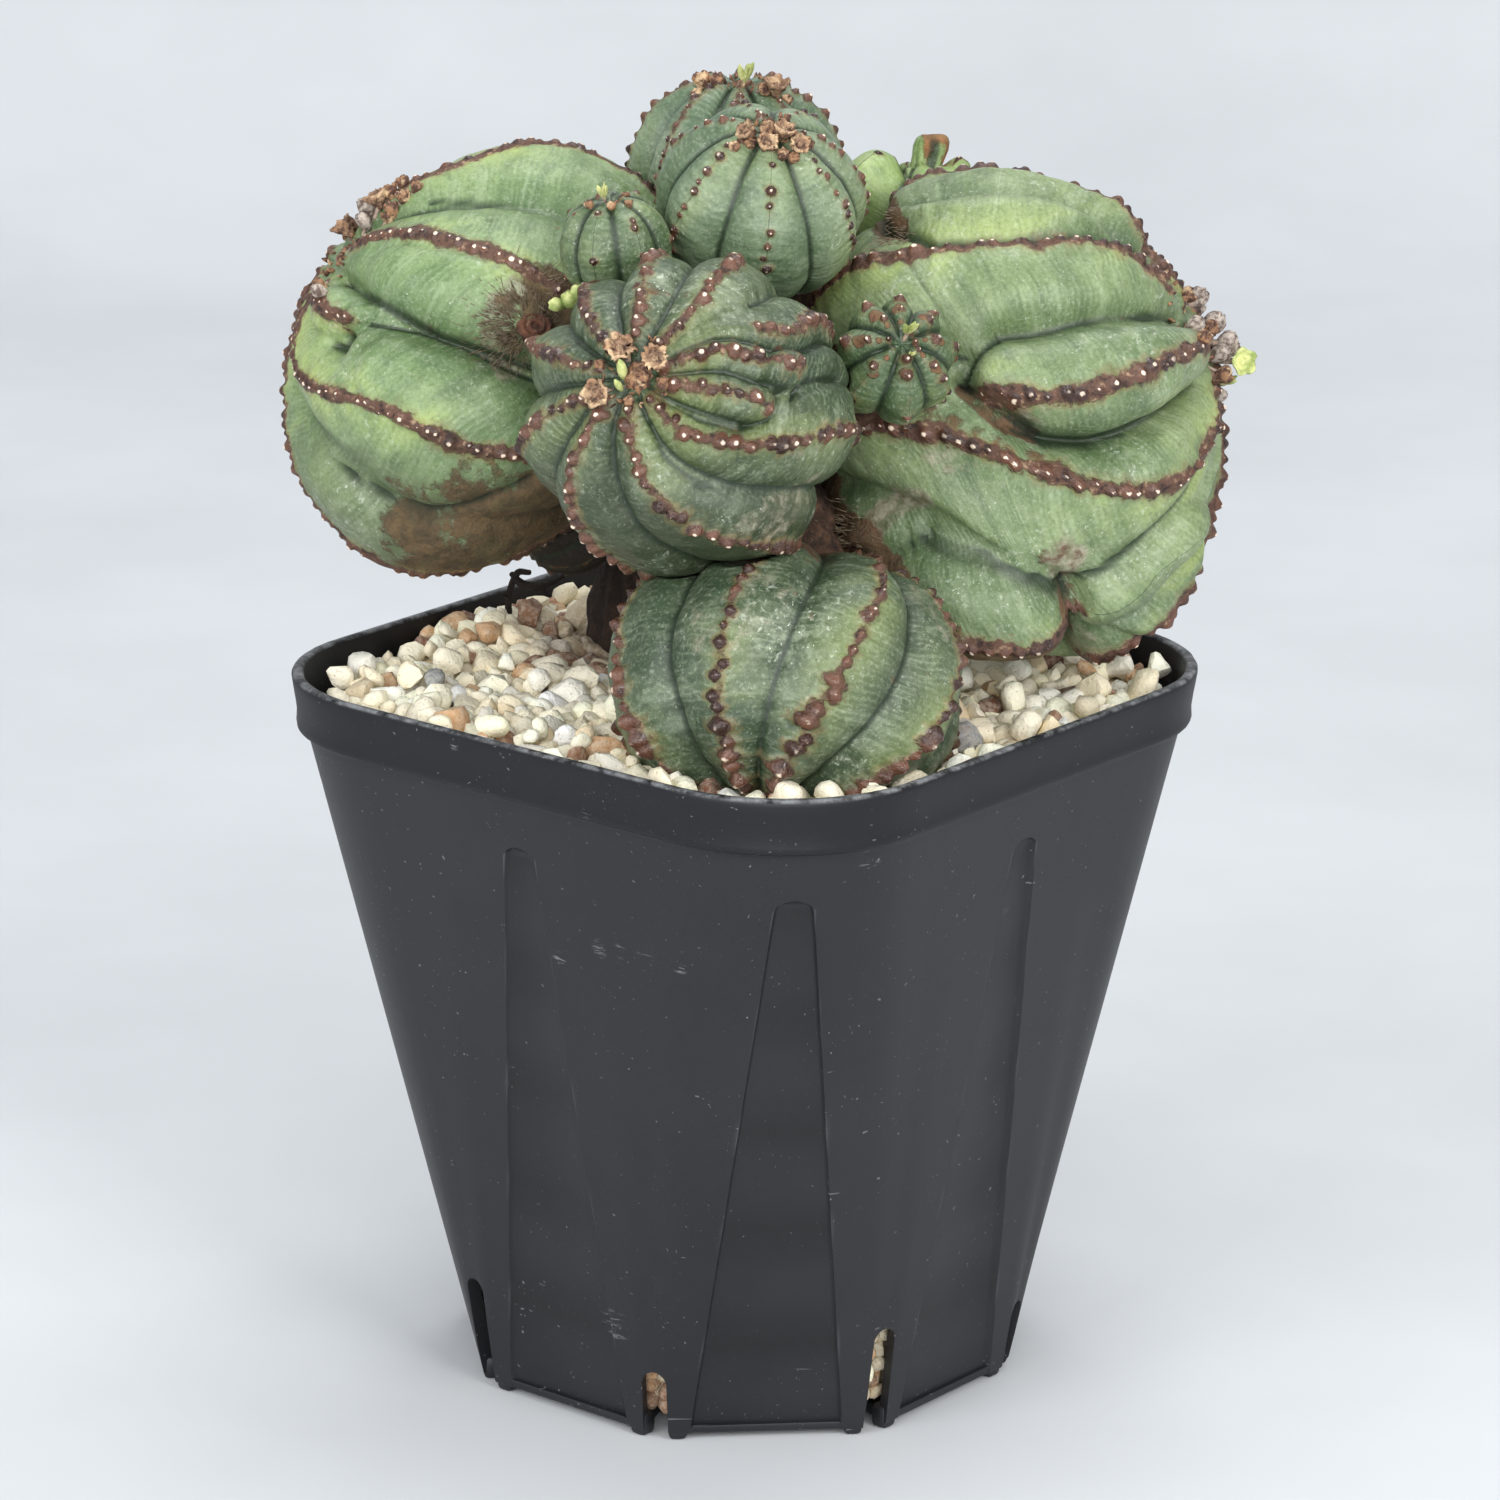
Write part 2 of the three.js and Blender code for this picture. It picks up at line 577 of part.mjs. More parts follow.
/** A bunch that stands on a head: pieces at [theta, lambda, size, lift, kind]. */
function bunch(head, pieces, heartSize) {
  const up = new THREE.Vector3(0, 0, 1);
  const heart = new THREE.SphereGeometry(heartSize, 6, 4);
  heart.translate(...onHead(head, pieces[0][0], pieces[0][1], 0.6).toArray());
  const solids = pieces.map(([theta, lambda, size, lift, kind]) => {
    const foot = onHead(head, theta, lambda, lift);
    const out = foot.clone().sub(new THREE.Vector3(...head.centre)).normalize();
    const g = kind === 'bud' ? bud(size) : cup(size);
    g.applyQuaternion(new THREE.Quaternion().setFromUnitVectors(up, out));
    g.translate(...foot.toArray());
    return toSolid(g);
  });
  return join([toSolid(heart), ...solids]);
}

const BUNCHES = {
  stalks_centre: ['head_centre', 4.2, [[7, 60, 1.3, 1.2], [13, 185, 1.9, 1.2], [13, 130, 1.9, 1.2],
    [15, 285, 2.1, 1.0], [9, 230, 1.2, 1.8, 'bud']]],
  stalks_top: ['head_top', 3.6, [[6, 30, 1.5, 1.4], [16, 10, 1.7, 1.0], [20, 60, 1.8, 1.0],
    [17, -60, 1.4, 1.0], [15, -110, 1.4, 1.0]]],
  stalks_top_back: ['head_top_back', 3.4, [[5, 0, 1.3, 1.6], [17, 80, 1.6, 1.0], [14, -70, 1.3, 1.0],
    [9, -20, 1.3, 3.2, 'bud']]],
  stalks_left: ['head_left', 4.5, [[5, 60, 1.6, 1.6], [12, 20, 1.5, 1.2], [14, 90, 1.6, 1.2],
    [16, 60, 1.4, 1.0], [14, -60, 1.5, 1.2], [22, 45, 1.4, 0.8]]],
  stalks_right: ['head_right', 5.0, [[4, 60, 1.7, 1.8], [11, 0, 1.6, 1.4], [14, 60, 1.7, 1.6],
    [13, -60, 1.5, 1.2], [9, 90, 1.6, 4.2], [12, 120, 1.6, 1.6], [12, 75, 1.5, 6.2, 'bud']]],
};

function sideBuds() {
  const spots = [[0, 0, 0, 1.9], [-2.6, -0.8, -0.6, 1.5], [1.2, -1.4, 1.8, 1.6], [2.2, -1.0, -1.4, 1.5]];
  return join(spots.map(([x, y, z, size]) => {
    const g = bud(size);
    g.translate(-38.6 + x, -24.6 + y, 229 + z);
    return toSolid(g);
  }));
}

// ---------------------------------------------------------------- gravel

function makeSoil() {
  const random = seeded(7);
  const inset = WALL + PANEL_RECESS + SEAT;
  const floor = BASE_LIFT + FLOOR + SEAT;
  const at = z => potOutline(bodyShare(z), topHalf, inset, 0);
  const upper = at(BODY_TOP - 1.5);
  const rings = [0.26, 0.44, 0.58, 0.7, 0.81, 0.91, 1];
  // Listed downwards like the pot's inner face, so that the two faces match.
  const levels = [{ z: SOIL_TOP }, ...rings.map(share => ({ share }))];
  levels.push({ z: BODY_TOP - 1.5, outline: upper }, { z: floor, outline: at(floor) }, { z: floor });
  const chance = levels.map(() => Array.from({ length: COLUMNS }, () => [random(), random(), random()]));
  return toSolid(latheOf(levels, (row, column) => {
    const level = levels[row];
    if (level.share === undefined) {
      return level.outline ? [...level.outline[column], level.z] : [0, 0, level.z];
    }
    const edge = level.share === 1;
    const high = (row + column) % 2 === 0 ? STONE : -STONE;
    const sway = edge ? 0 : 1.2;
    const [a, b, c] = chance[row][column];
    const x = upper[column][0] * level.share + (a - 0.5) * sway;
    const y = upper[column][1] * level.share + (b - 0.5) * sway;
    return [x, y, SOIL_TOP + (edge ? -0.6 : 0) + high * (0.6 + 0.6 * c)];
  }));
}

function makeTwig() {
  return join([
    limb([[-44, 50, 136], [-44.6, 49, 148], [-43, 47, 152.5]], [0.9, 0.8, 0.7], 0, 5),
    limb([[-44, 48, 152], [-38, 46, 150.5], [-33, 45, 152]], [0.7, 0.9, 0.6], 0, 5),
  ]);
}

// ---------------------------------------------------------------- assembly

const solids = {};
const grown = {};
for (const [name, head] of Object.entries(HEADS)) {
  solids[name] = toSolid(headGeometry(head));
  grown[name] = toSolid(headGeometry(head, SEAT + 0.1));
}

// The heads in front keep their form; each of the others gives way to those before it.
const ORDER = ['head_centre', 'pup_left', 'pup_right', 'head_top', 'head_front', 'head_left',
  'head_right', 'head_top_back', 'pup_back'];
ORDER.forEach((name, i) => {
  solids[name] = largest(cut(solids[name], ORDER.slice(0, i).map(other => grown[other])));
});

const wholeStem = LIMBS.map(([points, radii]) => limb(points, radii));
const stemHole = LIMBS.slice(0, 1).map(([points, radii]) => limb(points, radii, SEAT));
const hulls = Object.fromEntries(Object.entries(HEADS).map(([name, head]) => [name, hull(head, SEAT)]));
solids.trunk = largest(cut(join(wholeStem), Object.values(hulls)));

for (const [name, [head, heart, pieces]] of Object.entries(BUNCHES)) {
  const bodies = bunch(HEADS[head], pieces, heart);
  solids[name] = largest(cut(bodies, [grown[head]]));
}
solids.buds_side = largest(cut(sideBuds(), Object.values(grown)));

solids.pot = makePot();
const stemHoles = [...stemHole, grown.head_front, grown.head_right];
solids.twig = makeTwig();
const twigHole = limb([[-44, 50, 135.2], [-44.6, 49, 148]], [1.3, 1.3], 0, 5);
solids.soil = largest(cut(makeSoil(), [...stemHoles, twigHole]));

const LOOKS = {
  pot: [0x2b2c2e, 0.55], soil: [0xd8c6a0, 0.95], trunk: [0x6b4a35, 0.95],
  head_centre: [0x5f8259, 0.6], head_front: [0x5f8259, 0.6], head_left: [0x71965a, 0.6],
  head_right: [0x75985c, 0.6], head_top: [0x64875a, 0.6], head_top_back: [0x5e8156, 0.6],
  pup_left: [0x5b7f55, 0.6], pup_right: [0x557d50, 0.6], pup_back: [0x86a968, 0.6],
  stalks_centre: [0x9a7a55, 0.9], stalks_top: [0x8d6f58, 0.9], stalks_top_back: [0x8f7a50, 0.9],
  stalks_left: [0x80604e, 0.9], stalks_right: [0x8c8278, 0.9], buds_side: [0x93a83e, 0.7],
  twig: [0x2c211a, 0.9],
};

const plant = new THREE.Group();
for (const [name, solid] of Object.entries(solids)) {
  const [color, roughness] = LOOKS[name];
  const material = new THREE.MeshStandardMaterial({ color, roughness, metalness: 0 });
  const mesh = new THREE.Mesh(toGeometry(solid), material);
  mesh.name = name;
  plant.add(mesh);
}

export default plant;
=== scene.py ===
# Baseball plant: a clump of ribbed succulent heads on a woody stem, in a square-topped slit pot
# filled with gravel.  The pot stands with a corner towards -Y; sizes here are in millimetres.
import bpy
import numpy as np
from mathutils import Matrix


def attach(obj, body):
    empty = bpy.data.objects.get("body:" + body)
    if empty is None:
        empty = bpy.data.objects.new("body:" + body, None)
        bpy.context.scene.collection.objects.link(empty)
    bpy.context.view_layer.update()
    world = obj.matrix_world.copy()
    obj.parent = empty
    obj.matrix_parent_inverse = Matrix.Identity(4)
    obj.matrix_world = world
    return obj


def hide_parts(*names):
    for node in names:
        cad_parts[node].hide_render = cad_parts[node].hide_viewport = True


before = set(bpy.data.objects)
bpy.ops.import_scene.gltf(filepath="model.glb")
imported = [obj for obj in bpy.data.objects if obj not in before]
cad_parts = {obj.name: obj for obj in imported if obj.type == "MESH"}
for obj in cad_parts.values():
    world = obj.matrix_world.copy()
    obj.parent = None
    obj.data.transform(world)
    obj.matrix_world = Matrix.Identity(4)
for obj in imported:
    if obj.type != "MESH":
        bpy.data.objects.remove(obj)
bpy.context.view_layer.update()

# ---------------------------------------------------------------- camera

# A long lens looks down on the plant from the front, a little to the left and well back.
# Places are in metres and angles in radians.
CAMERA_PLACE = (-0.1507, -1.3111, 0.5369)
CAMERA_TURN, CAMERA_PITCH, CAMERA_ROLL = 0.11513, 0.29998, -0.01546
LENS_LENGTH, SENSOR_WIDTH = 162.57, 36
SEEN_FROM, SEEN_TO = 0.05, 20


def put(name, data):
    """New object of that data in the scene."""
    thing = bpy.data.objects.new(name, data)
    bpy.context.scene.collection.objects.link(thing)
    return thing


def stand(thing, right, up, back, at):
    """Places a camera or a lamp that looks away from back, from its three unit vectors."""
    turn = np.eye(4)
    turn[:3, :4] = np.stack([right, up, back, np.array(at)], 1)
    thing.matrix_world = Matrix(turn.tolist())


lens = bpy.data.cameras.new("camera")
lens.lens, lens.sensor_width = LENS_LENGTH, SENSOR_WIDTH
lens.clip_start, lens.clip_end = SEEN_FROM, SEEN_TO
camera = put("camera", lens)
sin_t, cos_t = np.sin(CAMERA_TURN), np.cos(CAMERA_TURN)
sin_p, cos_p = np.sin(CAMERA_PITCH), np.cos(CAMERA_PITCH)
ahead = np.array([sin_t * cos_p, cos_t * cos_p, -sin_p])
level = np.array([cos_t, -sin_t, 0])
above = np.array([sin_t * sin_p, cos_t * sin_p, cos_p])
right = level * np.cos(CAMERA_ROLL) - above * np.sin(CAMERA_ROLL)
up = level * np.sin(CAMERA_ROLL) + above * np.cos(CAMERA_ROLL)
stand(camera, right, up, -ahead, CAMERA_PLACE)
bpy.context.scene.camera = camera

# ---------------------------------------------------------------- pot

# Square-mouthed nursery pot that narrows to an eight-sided base, injection moulded in thin
# black polypropylene.  Eight flat panels are sunk into the wall, the mouth has a deep collar,
# and a slit in each lower corner lets the water out.
RIM_HALF, RIM_TOP, RIM_CORNER = 75.0, 147.0, 33.0
COLLAR_FOOT, COLLAR_FOOT_HALF, BODY_TOP_HALF = 135.8, 73.8, 72.7
BASE_APOTHEM, BASE_LIFT, BASE_ROUND = 54.5, 1.4, 1.2
WALL, FLOOR, PANEL_DEPTH = 1.6, 2.0, 1.1
PANEL_TOP, PANEL_TOP_HALF, PANEL_ARCH, STRIP_HALF = 125.0, 2.4, 2.4, 7.0
LIP_TOP, LIP_DEPTH = 3.3, 0.25
SLIT_WIDTH, SLIT_LONG, SLIT_SHORT = 5.3, 24.0, 15.5
CUT_FOOT, CUT_MIDDLE, CUT_INWARD, CUT_OUTWARD = -3, 6, -12, 8
FOOT_HALVES, PAD_RADIUS = (2.0, 1.9, 2.5), 12.0
PAD_PROFILE = [[0, 0], [11.2, 0], [11.8, 0.25], [PAD_RADIUS, 0.8], [PAD_RADIUS, 2.4], [0, 2.4]]
COLLAR_PROFILE = [       # height and half width, from under the collar, over the lip and down inside
    (135.2, 72.78), (135.35, 73.1), (135.5, 73.7), (135.8, 74.1), (136.3, 74.25), (137.2, 74.2),
    (138.6, 74.15), (141, 74.4), (144, 74.8), (145.6, 75.0), (146.25, 74.98), (146.7, 74.8),
    (146.93, 74.5), (147, 74.2), (147, 73.6), (146.93, 73.35), (146.7, 73.15), (146.3, 73.02),
    (144, 72.8), (139, 71.9)]
SCUFFS = [       # x, y, z, radius of a scratched spot
    (14.6, -85.1, 132.6, 3.2), (-35.2, -62.1, 108, 2.4), (-31.5, -65.8, 108.6, 2.0),
    (-27, -70.2, 108.8, 2.6), (-20.9, -76.0, 108.4, 2.2), (-39.1, -66.1, 136.7, 1.8),
    (-62.3, -42.8, 143.8, 1.8), (-42.3, -54.0, 103, 2.2), (-44.5, -37.4, 27.8, 1.8),
    (-30, -50, 24, 5.0), (44, -40, 30, 1.8), (47.6, -49.9, 108.9, 2.0), (60, 50, 90, 4),
    (-60, 45, 60, 4), (10, 78, 110, 4)]
# The lip's pale line is partly wear and partly a painted highlight.
COLLAR_LINE, LIP_WEAR_AND_HIGHLIGHT = (0.1352, 0.1358), (0.1462, 0.1469)      # metres up, for the plastic's tones
# Painted shadow under the collar's step: where it fades in and out, in metres up.
COLLAR_SHADOW_START, COLLAR_SHADOW_END = (0.1325, 0.1352), (0.1357, 0.1354)
OUTLINE_STEP = 25        # points of a level outline in an eighth: a panel's, then a strip's
PANEL_EDGES, PANEL_FOOT, STRIP_MIDDLE = [0, 7], [2, 3, 4, 5], 16
MM = 0.001


def build_piece(name, points, quads, tris=()):
    """Mesh object at the origin from points in millimetres and rows of corner numbers.

    The faces are turned over if the volume they enclose comes out negative."""
    quads = np.asarray(quads, np.int32).reshape(-1, 4)
    tris = np.asarray(tris, np.int32).reshape(-1, 3)
    halves = np.concatenate([quads[:, [0, 1, 2]], quads[:, [0, 2, 3]], tris])
    a, b, c = (points[halves[:, i]] for i in range(3))
    if np.einsum("ij,ij->i", a, np.cross(b, c)).sum() < 0:
        quads, tris = quads[:, ::-1], tris[:, ::-1]
    mesh = bpy.data.meshes.new(name)
    mesh.vertices.add(len(points))
    mesh.vertices.foreach_set("co", (points * MM).astype(np.float32).ravel())
    corners = np.concatenate([quads.ravel(), tris.ravel()]).astype(np.int32)
    mesh.loops.add(len(corners))
    mesh.loops.foreach_set("vertex_index", corners)
    starts = np.concatenate([np.arange(len(quads)) * 4,
                             len(quads) * 4 + np.arange(len(tris)) * 3]).astype(np.int32)
    mesh.polygons.add(len(starts))
    mesh.polygons.foreach_set("loop_start", starts)
    mesh.update(calc_edges=True)
    mesh.shade_smooth()
    return put(name, mesh)


def closed_skin(rings):
    """Quads and triangles of a skin through rings of equal count, closed by a point at each end.

    rings is (levels, columns, 3); the first and last level give the two end points."""
    levels, columns = rings.shape[:2]
    points = np.concatenate([rings[:1, 0], rings[1:-1].reshape(-1, 3), rings[-1:, 0]])
    row = np.arange(levels - 3)[:, None] * columns + 1
    here, nxt = np.arange(columns), (np.arange(columns) + 1) % columns
    quads = np.stack([row + here, row + nxt, row + columns + nxt, row + columns + here], -1)
    last = len(points) - 1
    start = last - columns
    caps = np.concatenate([np.stack([here * 0, 1 + nxt, 1 + here], -1),
                           np.stack([here * 0 + last, start + here, start + nxt], -1)])
    return points, quads.reshape(-1, 4), caps


def square_point(half, share, corner, side):
    """Point on the rounded square: share 0 at the corner's middle, 1 at the side's middle.

    It runs along the corner's arc first and then straight on; corner and side count in eighths
    of a turn from -Y."""
    radius = RIM_CORNER * half / RIM_HALF
    straight, arc = half - radius, radius * np.pi / 4
    run, way = share * (arc + straight), np.sign(side - corner)
    start = corner * np.pi / 4 - np.pi / 2
    facing = start + way * np.pi / 4 * np.minimum(run / arc, 1)
    across = facing + way * np.pi / 2
    on = np.maximum(run - arc, 0)
    middle = straight * np.sqrt(2)
    return np.stack([middle * np.cos(start) + radius * np.cos(facing) + on * np.cos(across),
                     middle * np.sin(start) + radius * np.sin(facing) + on * np.sin(across)], -1)


def swung(out, along, facing):
    """Level x and y of a point so far out on a bearing, and so far along to its left."""
    c, s = np.cos(facing), np.sin(facing)
    return out * c - along * s, out * s + along * c


def octagon_point(apothem, panel, share):
    """Point on the octagon's corner after a panel: share 0 to 1 over the strip, tip rounded."""
    run = (2 * share - 1) * STRIP_HALF
    half = apothem * np.tan(np.pi / 8)
    along = np.where(run < 0, half + run, run - half)
    facing = (panel + (run >= 0)) * np.pi / 4 - np.pi / 2
    out = apothem - np.maximum(0, BASE_ROUND - 0.5 * np.abs(run))
    return np.stack(swung(out, along, facing), -1)


def pot_outline(z, half, inset, sunk, arch=1.0):
    """Level outline of the pot: straight lines from the octagon below to the rounded square above.

    Each panel is a flat chord sunk by that depth; arch narrows it where its head is round."""
    share_up = (z - BASE_LIFT) / (COLLAR_FOOT - BASE_LIFT)
    edge = PANEL_TOP_HALF / (RIM_HALF * np.pi / 4)
    strip = 0.5 - 0.5 * np.cos(np.linspace(0, np.pi, 19))
    outline = []
    for k in range(8):
        facing = k * np.pi / 4 - np.pi / 2
        share = edge + (1 - 2 * edge) * strip
        top = (square_point(half - inset, share, k, k + 1) if k % 2 == 0
               else square_point(half - inset, 1 - share, k + 1, k))
        low = octagon_point(BASE_APOTHEM - inset, k, strip)
        wall = low + (top - low) * share_up
        back = (square_point(half - inset, np.array([edge]), k, k - 1) if k % 2 == 0
                else square_point(half - inset, np.array([1 - edge]), k - 1, k))
        start = octagon_point(BASE_APOTHEM - inset, k - 1, np.array([1.0]))
        left, right = (start + (back - start) * share_up)[0], wall[0]
        width = np.linalg.norm(right - left)
        bend = np.array([0.0, 0.2, 0.5, 0.9])
        over = np.concatenate([bend / width, 1 - bend[::-1] / width])
        over = 0.5 + (over - 0.5) * arch
        depth = sunk * np.array([0, 0.25, 0.8, 1, 1, 0.8, 0.25, 0])[:, None]
        panel = left + (right - left) * over[:, None]
        panel = panel - depth * np.array([np.cos(facing), np.sin(facing)])
        outline += [panel, wall[1:-1]]
    flat = np.concatenate(outline)
    return np.column_stack([flat, np.full(len(flat), z)])


def pot_rings():
    """Levels of the pot from the underside's middle, up the outside, over the rim and down inside.

    Along the body the panel's depth is full from the base lip to the panel's round head."""
    def band(z, half):
        return pot_outline(COLLAR_FOOT, half, 0, 0) * [1, 1, 0] + [0, 0, z]

    def body(z, inset=0.0, sunk=0.0, arch=1.0):
        return pot_outline(z, BODY_TOP_HALF, inset, sunk, arch)

    rings = [body(BASE_LIFT) * [0, 0, 1]]
    rings += [body(BASE_LIFT, 5, 0.2), body(BASE_LIFT, 0.5, 0.2), body(BASE_LIFT + 0.15, 0.12, LIP_DEPTH),
              body(BASE_LIFT + 0.5, 0, LIP_DEPTH), body(LIP_TOP - 0.35, 0, LIP_DEPTH),
              body(LIP_TOP - 0.1, 0, 0.4), body(LIP_TOP, 0, PANEL_DEPTH)]
    rings += [body(z, 0, PANEL_DEPTH) for z in np.linspace(LIP_TOP + 2, PANEL_TOP - PANEL_ARCH, 22)]
    turn_up = np.linspace(0.25, 1, 5) ** 0.7
    rings += [body(PANEL_TOP - PANEL_ARCH * (1 - s), 0, PANEL_DEPTH * (1 - s ** 6),
                   np.sqrt(max(1 - s * s, 0.02))) for s in turn_up]
    rings += [body(z) for z in (PANEL_TOP + 0.5, 129, 132, 134.2, 134.9)]
    rings += [band(z, half) for z, half in COLLAR_PROFILE]
    inner, floor = WALL + PANEL_DEPTH, BASE_LIFT + FLOOR
    rings += [body(z, inner) for z in (COLLAR_FOOT - 1, 90, 40, floor)]
    rings += [body(floor, inner + 6), body(floor) * [0, 0, 1]]
    return np.stack(rings)


def slit_cutter(corner, length):
    """Round-headed bar through the wall at a corner: a stadium outline pushed along the corner."""
    facing = corner * np.pi / 4 - np.pi / 2 + np.pi / 8
    half = SLIT_WIDTH / 2
    arc = np.linspace(0, np.pi, 13)
    across = np.concatenate([half * np.cos(arc), [-half, half]])
    height = np.concatenate([length - half + half * np.sin(arc), [CUT_FOOT, CUT_FOOT]])
    reach = BASE_APOTHEM / np.cos(np.pi / 8)
    depths = np.array([CUT_INWARD, CUT_INWARD, CUT_OUTWARD, CUT_OUTWARD])[:, None]
    shrink = np.array([0, 1, 1, 0])[:, None]
    across, height = across * shrink, CUT_MIDDLE + (height - CUT_MIDDLE) * shrink
    x, y = swung(reach + depths, across, facing)
    return build_piece("cutter", *closed_skin(np.stack([x + 0 * height, y + 0 * height, height], -1)))


def rounded_block(centre, halves, turn, power=0.45, around=16, rows=9):
    """Superellipsoid: a ball whose sines and cosines are raised to a power below one."""
    v, u = np.meshgrid(np.linspace(-np.pi / 2, np.pi / 2, rows), np.arange(around) * 2 * np.pi / around,
                       indexing="ij")

    def soft(value):
        return np.sign(value) * np.abs(value) ** power
    x = halves[0] * soft(np.cos(v)) * soft(np.cos(u))
    y = halves[1] * soft(np.cos(v)) * soft(np.sin(u))
    z = halves[2] * soft(np.sin(v))
    return np.stack([*swung(x, y, turn), z], -1) + np.array(centre)


def worked_mesh(piece):
    """Copy of a piece's mesh with its modifiers applied."""
    return bpy.data.meshes.new_from_object(piece.evaluated_get(bpy.context.evaluated_depsgraph_get()))


def carve(piece, tools, operation):
    """Applies one Boolean of the piece with the joined tools, and deletes the tools."""
    with bpy.context.temp_override(active_object=tools[0], selected_editable_objects=tools):
        bpy.ops.object.join()
    change = piece.modifiers.new("carve", "BOOLEAN")
    change.object, change.operation, change.solver = tools[0], operation, "MANIFOLD"
    mesh = worked_mesh(piece)
    piece.modifiers.clear()
    old, piece.data = piece.data, mesh
    bpy.data.meshes.remove(old)
    bpy.data.objects.remove(tools[0])


pot = build_piece("pot_shell", *closed_skin(pot_rings()))
carve(pot, [slit_cutter(k, SLIT_SHORT if k % 2 else SLIT_LONG) for k in range(8)], "DIFFERENCE")
feet = []
for k in range(8):
    for side in (-1, 1):
        facing = (k + (side > 0)) * np.pi / 4 - np.pi / 2
        along = -side * (BASE_APOTHEM * np.tan(np.pi / 8) - SLIT_WIDTH * 0.55 - FOOT_HALVES[1])
        out = BASE_APOTHEM - FOOT_HALVES[0] - 0.05
        centre = (*swung(out, along, facing), FOOT_HALVES[2])
        feet.append(build_piece("foot", *closed_skin(rounded_block(centre, FOOT_HALVES, facing))))
pad_profile = np.array(PAD_PROFILE)
pad_turn = np.arange(40) * np.pi / 20
pad_rings = np.stack([pad_profile[:, :1] * np.cos(pad_turn), pad_profile[:, :1] * np.sin(pad_turn),
                      pad_profile[:, 1:] + 0 * pad_turn], -1)
feet.append(build_piece("pad", *closed_skin(pad_rings)))
carve(pot, feet, "UNION")
pot.data.set_sharp_from_angle(angle=np.radians(38))


def mesh_points(mesh):
    """Vertices and their normals, in millimetres and unit vectors."""
    co, no = np.empty(len(mesh.vertices) * 3), np.empty(len(mesh.vertices) * 3)
    mesh.vertices.foreach_get("co", co)
    mesh.vertex_normals.foreach_get("vector", no)
    return co.reshape(-1, 3) / MM, no.reshape(-1, 3)


def give_field(piece, name, values):
    """Stores one number a vertex on a piece, for its material."""
    field = piece.data.attributes.new(name, "FLOAT", "POINT")
    field.data.foreach_set("value", np.asarray(values, np.float32).ravel())


def nearness(points, others, reach):
    """1 on the nearest of some other points, falling to 0 at a reach."""
    nearest = [np.linalg.norm(part[:, None] - others[None], axis=-1).min(1)
               for part in np.array_split(points, 40)]
    return np.clip(1 - np.concatenate(nearest) / reach, 0, 1)


# Fields for the wear and the painted light: panel edges that stand out are rubbed pale and carry a
# painted highlight, their feet get painted shade.
panel_lines = np.stack([pot_outline(z, BODY_TOP_HALF, 0, PANEL_DEPTH)
                        for z in np.linspace(LIP_TOP + 0.5, PANEL_TOP - PANEL_ARCH, 60)])
columns = np.arange(8)[:, None] * OUTLINE_STEP
at, _ = mesh_points(pot.data)
for key, spots, reach in (("edge", PANEL_EDGES, 0.35), ("foot", PANEL_FOOT, 0.75)):
    lines = panel_lines[:, (columns + spots).ravel()].reshape(-1, 3)
    give_field(pot, key, nearness(at, lines, reach))


def paint(red, green, blue):
    """Linear colour from the eight-bit values of a colour card."""
    value = np.array([red, green, blue]) / 255
    linear = np.where(value <= 0.04045, value / 12.92, ((value + 0.055) / 1.055) ** 2.4)
    return (*linear.tolist(), 1.0)


def new_finish(name):
    """Empty node material; returns it with its tree and its surface shader."""
    material = bpy.data.materials.new(name)
    material.use_nodes = True
    tree = material.node_tree
    shader = next(n for n in tree.nodes if n.type == "BSDF_PRINCIPLED")
    return material, tree, shader


def add(tree, kind, sockets=(), **settings):
    """A node with its sockets set to values or joined to other nodes' outputs."""
    node = tree.nodes.new("ShaderNode" + kind)
    for key, value in settings.items():
        setattr(node, key, value)
    for key, value in dict(sockets).items():
        if isinstance(value, bpy.types.NodeSocket):
            tree.links.new(value, node.inputs[key])
        else:
            node.inputs[key].default_value = value
    return node


def place(tree):
    """The piece's own coordinates, in metres."""
    return add(tree, "TexCoord").outputs["Object"]


def grain(tree, scale, detail=3.0, rough=0.55, where=None, twist=0.0):
    """Noise from 0 to 1 with that many lumps a metre."""
    return add(tree, "TexNoise", {"Vector": where or place(tree), "Scale": scale, "Detail": detail,
                                  "Roughness": rough, "Distortion": twist}).outputs[0]


def fade(value, low, high, start=0.0, end=1.0):
    """Smooth step of a value from low to high, giving start to end.

    The node goes into the tree that its first value belongs to, as in the helpers below."""
    return add(value.id_data, "MapRange",
               {"Value": value, "From Min": low, "From Max": high, "To Min": start, "To Max": end},
               interpolation_type="SMOOTHSTEP").outputs[0]


def sums(operation, a, b, clamp=False):
    """One arithmetic step on two values."""
    return add(a.id_data, "Math", {0: a, 1: b}, operation=operation, use_clamp=clamp).outputs[0]


def times(a, b):
    """One value times another."""
    return sums("MULTIPLY", a, b)


def plus(a, b):
    """Two values added."""
    return sums("ADD", a, b)


def blend(share, below, over):
    """Colour over laid on colour below by a share."""
    return add(share.id_data, "Mix", {0: share, 6: below, 7: over}, data_type="RGBA").outputs[2]


def relief(height, depth, normal=None):
    """Bump of a height field; depth in metres."""
    sockets = {"Height": height, "Distance": depth, "Strength": 1.0}
    if normal is not None:
        sockets["Normal"] = normal
    return add(height.id_data, "Bump", sockets).outputs[0]


def join(shader, **outputs):
    """Joins outputs to the shader's sockets; an underscore in a name stands for a space."""
    for key, value in outputs.items():
        shader.id_data.links.new(value, shader.inputs[key.replace("_", " ")])


def stored_field(tree, name):
    """One of the fields stored on the piece."""
    return add(tree, "Attribute", attribute_name=name).outputs["Fac"]


